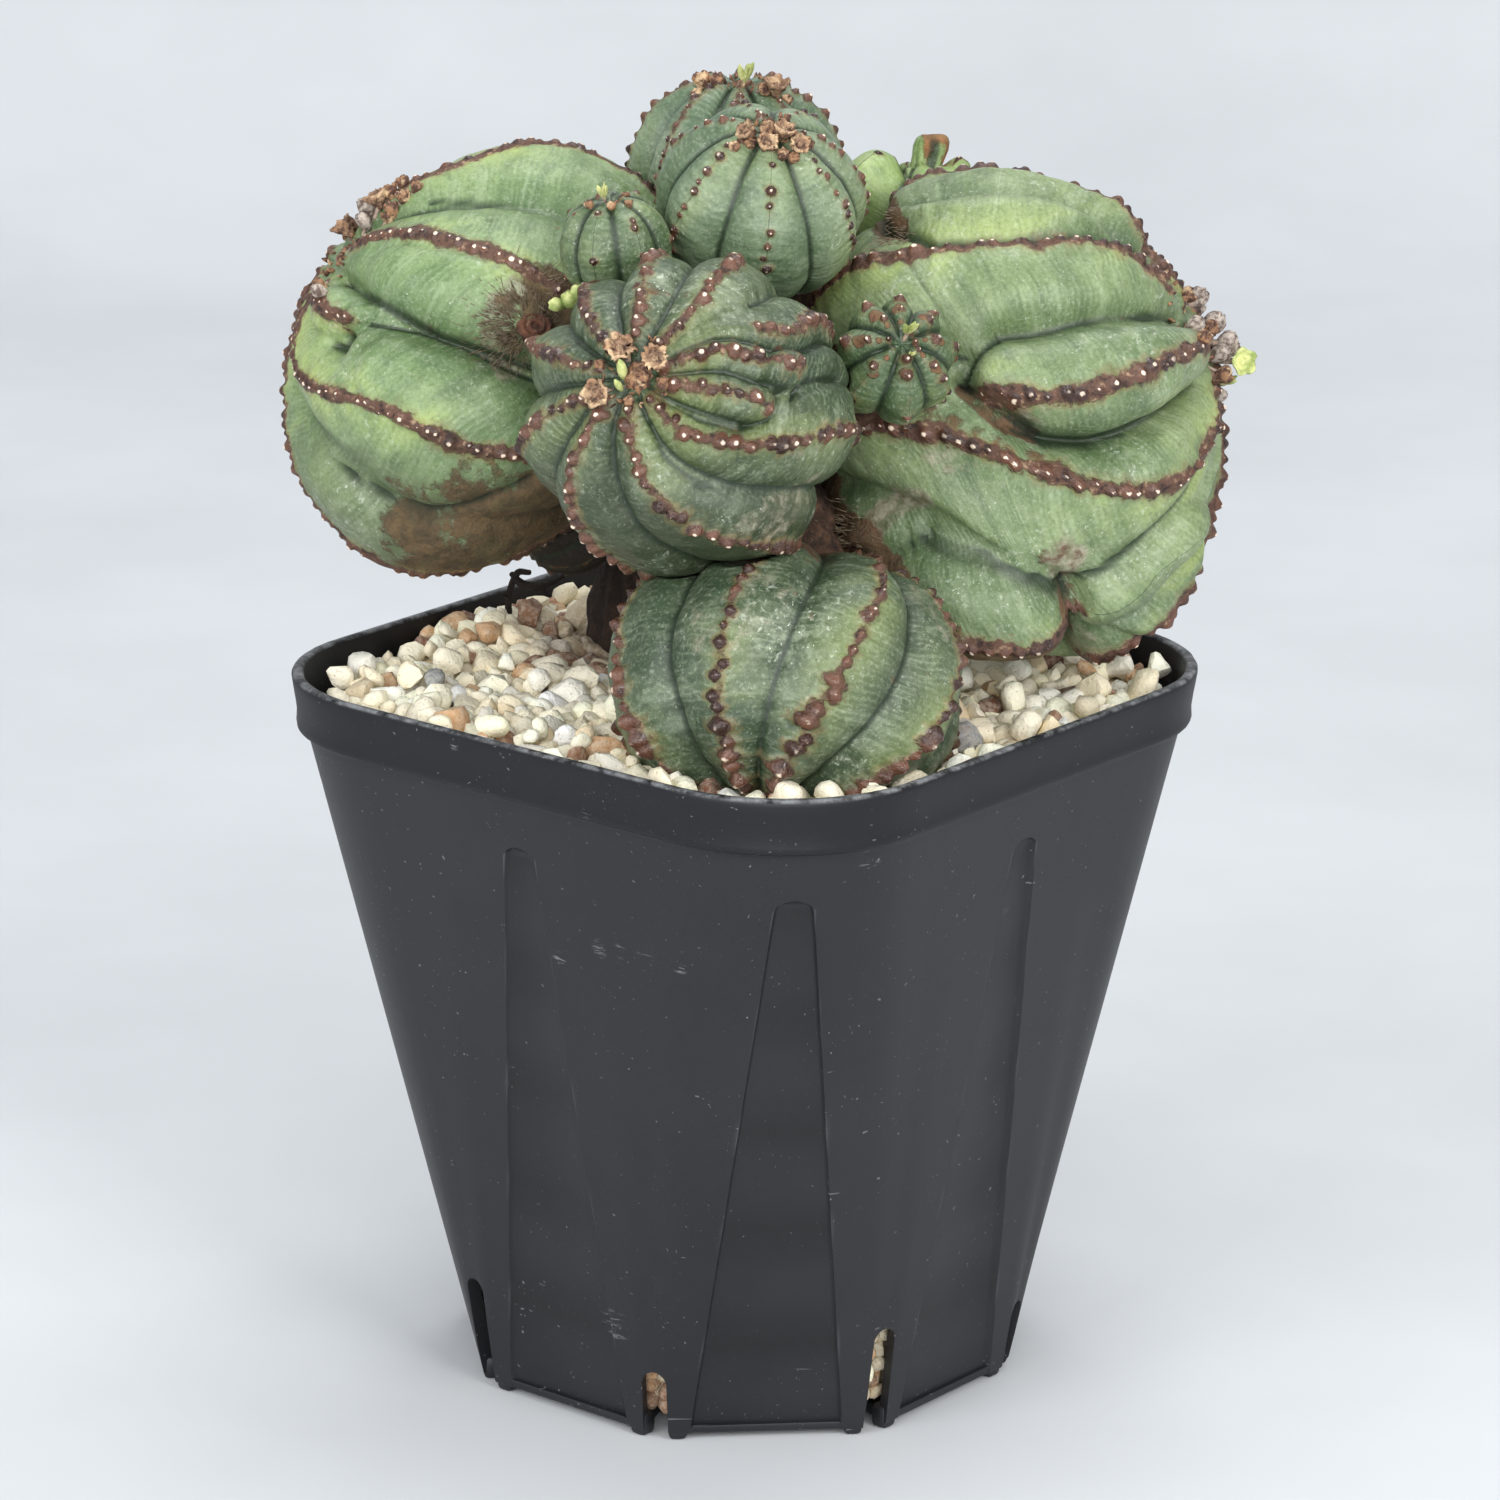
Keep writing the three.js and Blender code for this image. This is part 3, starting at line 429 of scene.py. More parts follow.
def pot_plastic():
    """Black polypropylene: moulded grain, dusty patches, scuffs, pale rubbed edges and lip with painted
    highlights, painted shade at the panels' feet and under the collar.
    """
    material, tree, shader = new_finish("pot_plastic")
    where = place(tree)
    height = add(tree, "SeparateXYZ", {0: where}).outputs["Z"]
    cloud = grain(tree, 22, 5, 0.6)
    base = blend(fade(cloud, 0.35, 0.7), paint(17, 19, 23), paint(24, 26, 30))
    haze = fade(grain(tree, 9, 4, 0.65), 0.45, 0.75)
    base = blend(times(haze, 0.35), base, paint(34, 35, 38))
    base = blend(fade(height, *COLLAR_LINE, 0, 0.8), base, paint(14, 15, 19))
    # Painted shadow: a dark line just under the collar's step.
    collar_shadow = times(fade(height, *COLLAR_SHADOW_START), fade(height, *COLLAR_SHADOW_END, 0, 0.7))
    base = blend(collar_shadow, base, paint(9, 10, 12))
    # Painted shade in the inner corners at the feet of the panels' edges.
    base = blend(times(stored_field(tree, "foot"), 0.9), base, paint(8, 9, 11))
    # The panels' outer edges are rubbed pale: partly wear, partly painted highlight.
    edge_wear_and_highlight = times(stored_field(tree, "edge"), fade(cloud, 0.3, 0.6, 0.3, 0.8))
    base = blend(edge_wear_and_highlight, base, paint(74, 76, 80))
    speck = fade(grain(tree, 1300, 2, 0.5), 0.70, 0.76)
    sparse = fade(grain(tree, 70, 3, 0.6), 0.45, 0.62)
    base = blend(times(times(speck, sparse), 0.5), base, paint(150, 150, 150))
    drag = add(tree, "Mapping", {"Vector": where, "Rotation": (0.5, 0.9, 0.3), "Scale": (1.0, 14, 14)})
    scratch = fade(grain(tree, 60, 2, 0.5, drag.outputs[0], 0.3), 0.735, 0.755)
    base = blend(times(scratch, 0.35), base, paint(140, 141, 145))
    # The lip rubbed pale: partly wear, partly a painted highlight.
    rim = fade(height, *LIP_WEAR_AND_HIGHLIGHT)
    rim = times(rim, fade(grain(tree, 240, 4, 0.7), 0.35, 0.7))
    base = blend(times(rim, 0.7), base, paint(150, 152, 155))
    level = add(tree, "VectorMath", {0: where, 1: (1, 1, 7)}, operation="MULTIPLY").outputs[0]
    threads = fade(grain(tree, 130, 5, 0.7, level, twist=1.0), 0.55, 0.6)
    for *spot, reach in SCUFFS:
        away = add(tree, "VectorMath", {0: where, 1: [c * MM for c in spot]},
                   operation="DISTANCE").outputs[1]
        near = fade(away, reach * MM, 0.15 * reach * MM, 0, 0.42)
        base = blend(times(near, threads), base, paint(150, 152, 155))
    join(shader, Base_Color=base)
    rough = plus(times(cloud, 0.14), 0.40)
    join(shader, Roughness=plus(rough, times(haze, 0.12)))
    fine = relief(grain(tree, 2600, 2, 0.6), 0.00003)
    join(shader, Normal=relief(grain(tree, 120, 3, 0.5), 0.00006, fine))
    join(shader, Specular_IOR_Level=fade(height, *COLLAR_LINE, 0.5, 0.36))
    shader.inputs["IOR"].default_value = 1.49
    return material


pot.data.materials.clear()
pot.data.materials.append(pot_plastic())
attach(pot, "root")
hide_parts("pot")

# ---------------------------------------------------------------- heads

# Ten globular heads of living tissue, each grown round its own axis with five to eleven ribs.
# A waxy grey-green skin with fine bands across every rib, dark narrow grooves between the ribs,
# and a corky brown crest with a row of hard warts where old flower stalks broke away.
FULL_TURN = 360.0
KNOT_STEP = 30.0          # degrees from the growing tip between two knots of a rib
NEIGHBOUR_GAP = 0.45      # the heads press on each other with this much left between them
CREST_TOP, CREST_END = 14.0, 160.0
GROOVE_SHAPE, RIDGE_SHAPE = 3.5, 1.3
CREASE_BOWL, CREASE_SLOT, CREASE_LINE = 1.5, 0.42, 0.6
TABLE_STEP, TABLE_ROWS, TABLE_COLUMNS = 0.75, 240, 480


def rib(*at, start=None, end=None):
    """A rib's bearings round the axis at every knot from the growing tip."""
    return {"at": at, "from": start, "to": end}


def even_ribs(count, first):
    """Ribs at equal steps round the axis."""
    return [rib(*[first + FULL_TURN * i / count] * 7) for i in range(count)]


# Angles are theta from the growing tip and lambda round the axis from the front, in degrees.
# girth: half widths towards the front and across; rise: half heights above and below the middle;
# square: power of the outline; depth, spread, ridge: depth of the grooves, width of a rib that has
# them in full, and sharpness of its top; dimple: hollow at the tip; dim: strength of the painted
# shade underneath; grid: columns to a rib, and rows; bead, wart, pitch: radius, height and spacing
# of the warts; gaps: share of them missing; low: their growth towards the foot; facet: 2 for round
# warts, less for toothed; crest, band, chain: width, strength and relief of the brown crest; pale:
# strength of the pale wart tips with their painted highlights; line: width of the groove lines with
# their painted shade.  Lobes and creases have a height and a line of (theta, lambda, half width);
# marks of cork and scar have a strength and such a line.  Swells have a place, a width and a height.
PLAIN_HEAD = {
    "square": 2.2, "dim": 0.5, "gaps": 0, "low": 0, "facet": 2.0, "pale": 1.0, "line": 0.8,
    "swells": (), "lobes": (), "creases": (), "cork": (), "scar": (),
}
HEADS = {
    "head_centre": {
        "centre": [-17.7, -48.3, 211.4], "axis": [-0.468, -0.722, 0.511],
        "front": [-0.18, -0.49, -0.85], "girth": [31, 32], "rise": [28, 27], "depth": 3.6,
        "spread": 6, "ridge": 0.25, "dimple": 1.5, "dim": 1.15, "grid": (24, 205), "bead": 1.4,
        "wart": 1.2, "pitch": 3.2, "crest": 1.25, "chain": 0.25, "band": 0.75, "pale": 0.85,
        "ribs": [
            rib(-40, -36, -31, -23, -12, -3, 5), rib(5, 6, 20, 37, 45, 51, 57),
            rib(36, 46, 68, 86, 92, 98, 103), rib(62, 80, 81, 98, 104, 108, 112, end=55),
            rib(88, 110, 99, 112, 116, 118, 122, end=62),
            rib(110, 126, 117, 128, 130, 132, 134, start=48), rib(130, 145, 157, 169, 176, 182, 187),
            rib(181, 186, 191, 196, 200, 204, 207), rib(232, 226, 222, 221, 221, 222, 223),
            rib(278, 261, 252, 248, 247, 246, 246), rib(308, 295, 290, 286, 283, 281, 280)],
        "lobes": [(4.6, [(55, 96, 3.4), (59, 100, 3.8)]), (2.8, [(40, 76, 3.0), (50, 82, 3.6)])],
        "creases": [
            (2.2, [(63, 88, 0.9), (67, 97, 1.3), (80, 102, 1.1), (98, 108, 0.8)]),
            (2.0, [(17, 50, 0.8), (34, 59, 1.2), (48, 66, 1.3), (56, 77, 1.3), (56, 87, 1.0)]),
            (1.3, [(23, 23, 0.8), (37, 24, 1.2), (53, 33, 1.5), (73, 51, 1.4), (110, 64, 1)]),
            (0.9, [(50, 60, 0.8), (55, 54, 1), (64, 58, 1), (70, 56, 0.7)]),
            (0.8, [(31, -16, 0.8), (47, -11, 1.1), (73, -3, 1.1), (93, 4, 0.8)])],
        "scar": [(0.5, [(80, 40, 5), (95, 60, 6)]), (0.45, [(70, 75, 4)])],
        "cork": [
            (0.55, [(118, -60, 5), (125, -20, 5)]), (0.62, [(58, 108, 1.4), (64, 104, 1.2)]),
            (0.6, [(30, 46, 1.6)]), (0.5, [(40, 150, 1.6), (38, 188, 1.8)])],
    },
    "pup_left": {
        "centre": [-29.6, -20.7, 239.2], "axis": [-0.147, -0.168, 0.975],
        "front": [-0.116, -0.976, -0.186], "girth": [11, 11], "rise": [10, 11], "depth": 1.3,
        "spread": 3, "ridge": 0.2, "dimple": 0.6, "grid": (16, 90), "bead": 0.75, "wart": 0.6,
        "pitch": 4.4, "crest": 0.8, "chain": 0.0, "band": 0.1, "gaps": 0.25,
        "ribs": even_ribs(7, -20),
    },
    "pup_right": {
        "centre": [23, -40.9, 220], "axis": [0.06, -0.814, 0.577], "front": [-0.04, -0.58, -0.814],
        "girth": [12, 12], "rise": [10, 11], "depth": 2.4, "spread": 3, "ridge": 0.3, "dimple": 0.6,
        "grid": (18, 96), "bead": 0.95, "wart": 0.9, "pitch": 4.4, "crest": 1.0, "chain": 0.3,
        "band": 0.35, "gaps": 0.2,
        "ribs": [rib(*[at] * 7) for at in (12, 58, 100, 138, 178, 214, 262, 314)],
        "cork": [(0.85, [(t, at + 3, w)]) for at in (58, 100, 138, 178, 214, 262, 314)
                 for t, w in ((25, 0.7), (44, 1.5))],
    },
    "head_top": {
        "centre": [0.1, -10.1, 244.9], "axis": [0.053, -0.413, 0.909],
        "front": [-0.126, -0.906, -0.404], "girth": [20, 20.5], "rise": [18, 20], "depth": 2.2,
        "spread": 4, "ridge": 0.2, "dimple": 1.2, "grid": (24, 160), "bead": 0.85, "wart": 0.8,
        "pitch": 2.8, "crest": 0.7, "chain": 0.0, "band": 0.25, "gaps": 0.04,
        "ribs": [
            rib(-62, -54, -50, -54, -57, -60, -62), rib(6, 4, 4, 5, 5, 6, 6),
            rib(49, 54, 57, 64, 76, 86, 95), rib(96, 92, 89, 96, 104, 112, 118),
            rib(150, 148, 148, 150, 154, 158, 162), rib(205, 205, 205, 206, 208, 212, 216),
            rib(250, 252, 257, 262, 266, 269, 272)],
    },
    "head_front": {
        "centre": [2.1, -49.6, 158.1], "axis": [-0.184, -0.516, -0.836],
        "front": [-0.058, -0.844, 0.534], "girth": [34, 35.5], "rise": [27, 26], "depth": 3.4,
        "spread": 6, "ridge": 0.25, "dimple": 1.0, "grid": (28, 205), "bead": 1.35, "wart": 1.2,
        "pitch": 3.3, "crest": 1.1, "chain": 0.2, "band": 0.7, "facet": 1.35, "low": 0.8,
        "pale": 0.72, "line": 0.9,
        "ribs": [
            rib(-142, -144, -148, -155, -158, -160, -161),
            rib(-96, -99, -103, -110, -113, -115, -116), rib(-48, -52, -57, -65, -67, -68, -69),
            rib(9, -1, -10, -20, -33, -50, -65), rib(23, 23, 24, 23, 20, 18, 16),
            rib(78, 73, 67, 70, 73, 76, 79), rib(124, 120, 117, 114, 112, 110, 110),
            rib(174, 170, 166, 160, 157, 155, 154)],
        "scar": [(0.5, [(120, -62, 8), (104, -66, 6)]), (0.42, [(100, 20, 14), (120, 40, 12)])],
        "cork": [(0.6, [(150, 0, 12), (150, 180, 12)])],
    },
    "head_left": {
        "centre": [-52.6, 20.2, 202.2], "axis": [-0.759, 0.049, 0.65],
        "front": [0.041, -0.992, 0.123], "girth": [42, 45.5], "rise": [40, 34], "square": 2.3,
        "depth": 5, "spread": 8, "ridge": 0.45, "dimple": 1.5, "dim": 1.15, "grid": (31, 278),
        "bead": 1.05, "wart": 0.66, "gaps": 0.08, "pitch": 2.7, "crest": 1.7, "chain": 0.3,
        "band": 1.0, "pale": 1.2,
        "swells": [[90, 90, 35, 6.5], [50, -90, 35, -4.5], [130, -90, 35, -4]],
        "ribs": [
            rib(-150, -118, -84, -78, -62, -46, -34), rib(-105, -73, -29, -15, 3, 18, 30),
            rib(-45, -24, 3, 11, 22, 31, 38, end=39), rib(22, 29, 32, 34.5, 38, 44, 46),
            rib(105, 80, 86, 84, 77, 70, 64), rib(150, 128, 130, 128, 122, 116, 112),
            rib(185, 178, 178, 177, 172, 166, 162), rib(198, 218, 226, 229, 236, 242, 247)],
        "lobes": [
            (2.6, [(28, -21, 4.5), (27, -33, 4)]), (2.2, [(40, 9, 7), (60, 15, 9), (76, 18, 8)]),
            (1.6, [(60, -16, 8), (80, -8, 10), (96, -2, 8)])],
        "creases": [
            (3.6, [(18, -13, 1.2), (37, -3, 2.0), (49, 0, 2.2), (63, 3, 2.2), (75, 8, 2),
                (91, 14, 1.5)]), (4.5, [(38, -24, 1.8), (41, -30, 2.6), (37, -36, 1.6)]),
            (3.0, [(66, -60, 1), (75, -56, 1.8), (85, -52, 2), (97, -45, 2), (104, -30, 1.8),
                (110, -12, 1.2)]),
            (1.2, [(36, 60, 1.2), (50, 59, 1.6), (62, 59, 1.6), (82, 59, 1.2)])],
        "cork": [
            (1.1, [(84, 25, 5.5)]), (0.75, [(78, 33, 4), (88, 34, 5), (92, 20, 5)]),
            (0.6, [(74, 20, 4), (80, 13, 4)]),
            (0.85, [(95, -52, 6), (108, -46, 9), (112, -34, 9), (118, -20, 9), (124, -6, 9)]),
            (0.95, [(112, -60, 9), (132, -48, 14), (142, -20, 14)]),
            (0.5, [(52, 1, 1.6), (66, 4, 1.8), (84, 11, 1.8)]),
            (0.6, [(84, -42, 4), (94, -30, 6), (100, -18, 6)]),
            (0.5, [(96, -68, 5), (110, -82, 8), (124, -86, 9)]),
            (0.9, [(150, 0, 22), (160, 180, 22)])],
        "scar": [
            (0.65, [(76, 26, 5), (84, 32, 7), (92, 24, 5)]),
            (0.7, [(72, 20, 3), (76, 12, 3.5), (84, 8, 3), (90, 14, 2.5)])],
    },
    "head_right": {
        "centre": [49.7, 4.3, 196.1], "axis": [0.865, -0.187, 0.467], "front": [-0.29, -0.943, 0.16],
        "girth": [44, 52.5], "rise": [47, 38], "square": 2.3, "depth": 6, "spread": 8, "ridge": 0.45,
        "dimple": 1.5, "grid": (34, 300), "bead": 1.35, "wart": 1.0, "gaps": 0.05, "pitch": 3.2,
        "crest": 1.9, "chain": 0.25, "band": 1.0, "pale": 1.05,
        "swells": [
            [50, 90, 35, -4.5], [90, 90, 35, 4.5], [130, 90, 35, -4], [50, -90, 35, -3],
            [118, -86, 26, -6], [110, 42, 20, 8], [132, 26, 16, 3], [112, 84, 20, -5]],
        "ribs": [
            rib(-54, -54, -48, -54, -63, -70, -76), rib(20, 8, 2, -14, -38, -54, -63, end=81),
            rib(95, 64, 34, 0, -20, -38, -50), rib(118, 88, 64, 54, 27, 8, -8, start=84),
            rib(135, 112, 84, 79, 90, 100, 108, end=94), rib(160, 150, 132, 127, 134, 140, 146),
            rib(195, 188, 178, 174, 176, 180, 186), rib(235, 228, 222, 220, 222, 224, 226),
            rib(275, 264, 265, 269, 267, 263, 258, end=93)],
        "lobes": [
            (4.2, [(73, -11, 7), (63, -3, 10), (51, 2, 11.5), (37, 6, 10), (20, 18, 6.5)]),
            (4.6, [(130, 24, 9), (113, 32, 10), (98, 43, 9.5), (93, 51, 8)]),
            (2.4, [(78, 62, 7), (70, 70, 9), (56, 72, 9)]),
            (2.5, [(84, -76, 8), (68, -72, 11), (50, -76, 11), (34, -84, 9)])],
        "creases": [
            (3.0, [(84, -14, 1.6), (75, -19, 2.2), (69, -23, 2.2), (57, -20, 2.2), (44, -20, 2),
                (24, -20, 1.8), (8, -24, 1)]),
            (4.0, [(84, -14, 1.8), (80, -8, 2.4), (75, 0, 3), (70, 11, 3.4), (59, 19, 3.2),
                (44, 25, 2.8), (29, 33, 2.2), (17, 48, 1.4)]),
            (5.0, [(150, 6, 1), (131, 17, 1.6), (109, 21, 1.8), (97, 31, 1.8), (89, 41, 2),
                (85, 50, 2.2)]), (7.0, [(85, 50, 1.8), (87, 56, 2.2), (91, 68, 2.2), (97, 82, 1.8)]),
            (2.2, [(84, 50, 2), (76, 51, 1.8), (65, 53, 1.8), (50, 56, 1.4), (38, 62, 1)]),
            (4.2, [(93, -92, 2), (90, -68, 3), (79, -54, 2.4), (66, -51, 2), (51, -52, 2),
                (37, -58, 1.8), (24, -85, 1.2)]),
            (0.8, [(86, -50, 0.8), (84, -42, 1.2), (82, -32, 1)])],
        "scar": [
            (0.8, [(122, 12, 3), (113, 9, 4.2), (107, 10, 3.2)]),
            (0.7, [(77, -4, 2.6), (71, 7, 2.6)]),
            (0.8, [(140, 14, 5), (128, 20, 4), (120, 27, 3.5), (112, 34, 2.5)]),
            (0.85, [(80, 40, 4.6), (84, 48, 3)]), (0.55, [(90, 76, 5), (97, 60, 5)]),
            (0.5, [(92, -12, 3), (100, -20, 3)]), (0.5, [(98, 0, 4), (90, 5, 4)])],
        "cork": [
            (0.62, [(82, 44, 2.6), (86, 54, 2.6), (92, 70, 2)]), (0.9, [(88, -65, 3), (90, -78, 4)]),
            (0.8, [(84, -12, 1.8), (79, -1, 2.4), (72, 8, 2.2)]),
            (1.0, [(138, 36, 9), (122, 43, 8), (108, 50, 7.4), (98, 58, 4.5)]),
            (0.85, [(138, 12, 6), (127, 17, 5), (118, 25, 3.2), (111, 31, 2.4)]),
            (0.7, [(112, 33, 1.6), (108, 36, 3)]), (0.52, [(84, 38, 3), (80, 41, 3.5)]),
            (1.0, [(150, 20, 14), (150, 90, 16), (135, 100, 14)]),
            (0.5, [(97, -9, 3.5), (89, -1, 4), (83, 5, 3.5), (76, 15, 3.5)])],
    },
    "head_top_back": {
        "centre": [0, 34.2, 239.2], "axis": [0.024, -0.056, 0.998], "front": [-0.11, -0.993, -0.053],
        "girth": [22, 22], "rise": [22, 20], "depth": 4.0, "spread": 4, "ridge": 0.3, "dimple": 1.5,
        "grid": (20, 140), "bead": 0.9, "wart": 0.85, "pitch": 3.4, "crest": 0.9, "chain": 0.1,
        "band": 0.6,
        "ribs": even_ribs(8, 0),
    },
    "head_shaded": {
        "centre": [-33, 22, 174.5], "axis": [-0.75, -0.2, -0.63], "front": [-0.2, -0.9, -0.4],
        "girth": [12, 13], "rise": [14, 14], "depth": 1.4, "spread": 4, "ridge": 0.3, "dimple": 1.0,
        "grid": (12, 70), "bead": 0.7, "wart": 0.5, "pitch": 3.6, "crest": 0.6, "chain": 0.0,
        "band": 0.3, "gaps": 0.5, "pale": 0.0,
        "ribs": even_ribs(7, 20),
        "cork": [(1.0, [(60, -40, 12), (90, 20, 14)]), (1.0, [(120, 120, 14)])],
    },
    "pup_back": {
        "centre": [37, 38, 231], "axis": [0.1, 0.05, 0.99], "front": [0, -1, 0], "girth": [14, 14],
        "rise": [11.5, 14], "square": 2.6, "depth": 2.4, "spread": 4, "ridge": 0.3, "dimple": 0.8,
        "grid": (22, 96), "bead": 0.8, "wart": 0.5, "pitch": 5.0, "crest": 1.2, "chain": 0.2,
        "band": 0.3, "gaps": 0.4,
        "ribs": even_ribs(5, -62),
        "lobes": [
            (6.4, [(3, 90, 2.5), (12, 90, 2.9)]), (2.8, [(37, 90, 2.4)]),
            (4.0, [(42, -80, 5.5), (62, -74, 6)])],
        "creases": [(3.5, [(40, -20, 1.8), (20, -80, 2.2), (42, -150, 1.8)])],
        "cork": [
            (1.0, [(9, 80, 2.1), (19, 92, 2.4)]), (0.8, [(37, 90, 1.2)]), (0.7, [(40, -92, 1.6)])],
    },
}
HEADS = {name: {**PLAIN_HEAD, **head} for name, head in HEADS.items()}


def cubic(t, start, leaving, end, arriving):
    """Cubic from start to end as t runs from 0 to 1, with a slope at each end."""
    return ((2 * t ** 3 - 3 * t ** 2 + 1) * start + (t ** 3 - 2 * t ** 2 + t) * leaving
            + (3 * t ** 2 - 2 * t ** 3) * end + (t ** 3 - t ** 2) * arriving)


def bearings(ribs, theta):
    """Bearing of every rib at theta: a smooth cubic through its seven knots."""
    at = np.array([r["at"] for r in ribs], float)
    slope = np.gradient(at, axis=1)
    x = np.clip(theta / KNOT_STEP, 0, at.shape[1] - 1.0001)
    i = x.astype(int)
    return cubic(x - i, at[:, i], slope[:, i], at[:, i + 1], slope[:, i + 1])


def bell(value, width):
    """Bell curve: 1 at zero, and e to the minus one a width away."""
    return np.exp(-(value / width) ** 2)


def girth(head, theta, lam):
    """Radius of a head before its ribs: a squared-off ellipsoid with a few broad swells."""
    ru, rv = head["girth"]
    t, l = np.radians(theta), np.radians(lam)
    rise = np.where(theta < 90, *head["rise"])
    wide = 1 / np.hypot(np.cos(l) / ru, np.sin(l) / rv)
    n = head["square"]
    r = ((np.abs(np.sin(t)) / wide) ** n + (np.abs(np.cos(t)) / rise) ** n) ** (-1 / n)
    for st, sl, width, amount in head["swells"]:
        r = r + amount * bell(angle_from(theta, lam, st, sl), width)
    return r


def angle_from(theta, lam, to_theta, to_lam):
    """Angle in degrees between two directions from a head's centre."""
    a, b = np.radians(theta), np.radians(to_theta)
    dot = np.cos(a) * np.cos(b) + np.sin(a) * np.sin(b) * np.cos(np.radians(lam - to_lam))
    return np.degrees(np.arccos(np.clip(dot, -1, 1)))


def wrap(angle):
    """Angle brought to the half turn on either side of zero."""
    return (angle + 180) % FULL_TURN - 180


def smooth(value):
    """Smooth step from 0 to 1."""
    t = np.clip(value, 0, 1)
    return t * t * (3 - 2 * t)


def ribbed(head, ribs, theta, lam):
    """Girth with ribs cut in, and how far each point is from a groove in millimetres.

    The flanks fall from each crest to a narrow groove."""
    base = girth(head, theta, lam)
    off = bearings(ribs, theta) - lam
    before, behind = (off % FULL_TURN).min(0), (-off % FULL_TURN).min(0)
    gap = before + behind
    q = np.minimum(before, behind) / np.maximum(gap / 2, 1e-6)
    half_width = base * np.sin(np.radians(theta)) * np.radians(gap) / 2
    depth = head["depth"] * np.tanh(half_width / head["spread"])
    fall = head["ridge"] * q ** RIDGE_SHAPE + (1 - head["ridge"]) * q ** GROOVE_SHAPE
    return np.stack([base - depth * fall, (1 - q) * half_width])


def presence(part, theta, side):
    """How far a rib that starts or stops part of the way is there, 0 to 1."""
    curve = (side / 14) ** 2 * 4
    end = 1 if part["to"] is None else smooth((part["to"] - curve - theta) / 5 + 0.5)
    start = 1 if part["from"] is None else smooth((theta - part["from"] - curve) / 5 + 0.5)
    return np.minimum(end, start) + 0 * theta


def ball_point(theta, lam):
    """Point of the unit ball at theta from its first axis and lambda round it."""
    t, l = np.radians(theta), np.radians(lam)
    return np.stack([np.cos(t), np.sin(t) * np.cos(l), np.sin(t) * np.sin(l)], -1)


def stroke_reach(head, theta, lam, stroke):
    """Nearness to a line of (theta, lambda, half width) knots: distance over half width."""
    mean = np.mean(head["girth"])
    spot = ball_point(theta, lam) * mean
    if len(stroke) == 1:
        stroke = [*stroke, (stroke[0][0] + 0.1, *stroke[0][1:])]
    knots = np.array(stroke, float)
    line, wide = ball_point(knots[:, 0], knots[:, 1]) * mean, knots[:, 2]
    nearest = np.full(theta.shape, 99.0)
    for a, b, wa, wb in zip(line[:-1], line[1:], wide[:-1], wide[1:]):
        run = np.clip((spot - a) @ (b - a) / ((b - a) @ (b - a)), 0, 1)
        away = np.linalg.norm(spot - a - run[..., None] * (b - a), axis=-1)
        nearest = np.minimum(nearest, away / (wa + (wb - wa) * run))
    return nearest


def head_form(head, theta, lam):
    """Radius of a head and distance to a groove: whole ribs, blended to all where short ones are.

    Lobes stand up like laid sausages, creases sink with a rounded trough."""
    whole = [r for r in head["ribs"] if r["from"] is None and r["to"] is None]
    short = [r for r in head["ribs"] if r not in whole]
    form = ribbed(head, whole, theta, lam)
    if short:
        share = 0
        for part in short:
            side = wrap(lam - bearings([part], theta)[0])
            near = smooth(2.2 - np.abs(side) / 16)
            share = np.maximum(share, presence(part, theta, side) * near)
        form = form + (ribbed(head, head["ribs"], theta, lam) - form) * share
    r, groove = form
    for rise, stroke in head["lobes"]:
        r = r + rise * np.sqrt(np.clip(1 - stroke_reach(head, theta, lam, stroke) ** 3, 0, 1))
    for depth, stroke in head["creases"]:
        reach = stroke_reach(head, theta, lam, stroke)
        r = r - depth * (0.5 * bell(reach, CREASE_BOWL) + 0.5 * bell(reach, CREASE_SLOT))
    return r - head["dimple"] * np.exp(-((theta / 11) ** 2)), groove


def head_radius(head, theta, lam):
    """Star-shaped surface of a head."""
    return head_form(head, theta, lam)[0]


def axes_of(head):
    """Rows: the head's axis, its front square to the axis, and the third way."""
    a = np.array(head["axis"], float)
    a /= np.linalg.norm(a)
    u = np.array(head["front"], float)
    u -= a * (u @ a)
    u /= np.linalg.norm(u)
    return np.stack([a, u, np.cross(a, u)])


def outward(head, theta, lam):
    """Unit vector from the head's centre at theta and lambda."""
    return ball_point(theta, lam) @ axes_of(head)


def unit(rows):
    """Rows of vectors brought to length one."""
    return rows / np.linalg.norm(rows, axis=-1)[..., None]


def lumps(points, size, seed, waves=14):
    """Soft random relief from -1 to 1: a sum of plane waves about that many millimetres long."""
    rng = np.random.default_rng(seed)
    ways = unit(rng.normal(size=(waves, 3)))
    pitch = 2 * np.pi / (size * rng.uniform(0.7, 1.5, waves))
    phase = rng.uniform(0, 2 * np.pi, waves)
    total = sum(np.sin(points @ (w * p) + f) for w, p, f in zip(ways, pitch, phase))
    return total / np.sqrt(waves) / 1.4


def crest_path(head, part):
    """Theta, length run and slant of one crest, every half degree."""
    theta = np.linspace(0, 180, 361)
    lam = bearings([part], theta)[0]
    points = outward(head, theta, lam) * head_radius(head, theta, lam)[:, None]
    length = np.concatenate([[0], np.cumsum(np.linalg.norm(np.diff(points, axis=0), axis=1))])
    radius = np.linalg.norm(points, axis=1) * np.sin(np.radians(theta))
    slant = np.arctan2(radius * np.radians(np.gradient(lam)), np.gradient(length))
    return theta, length, slant


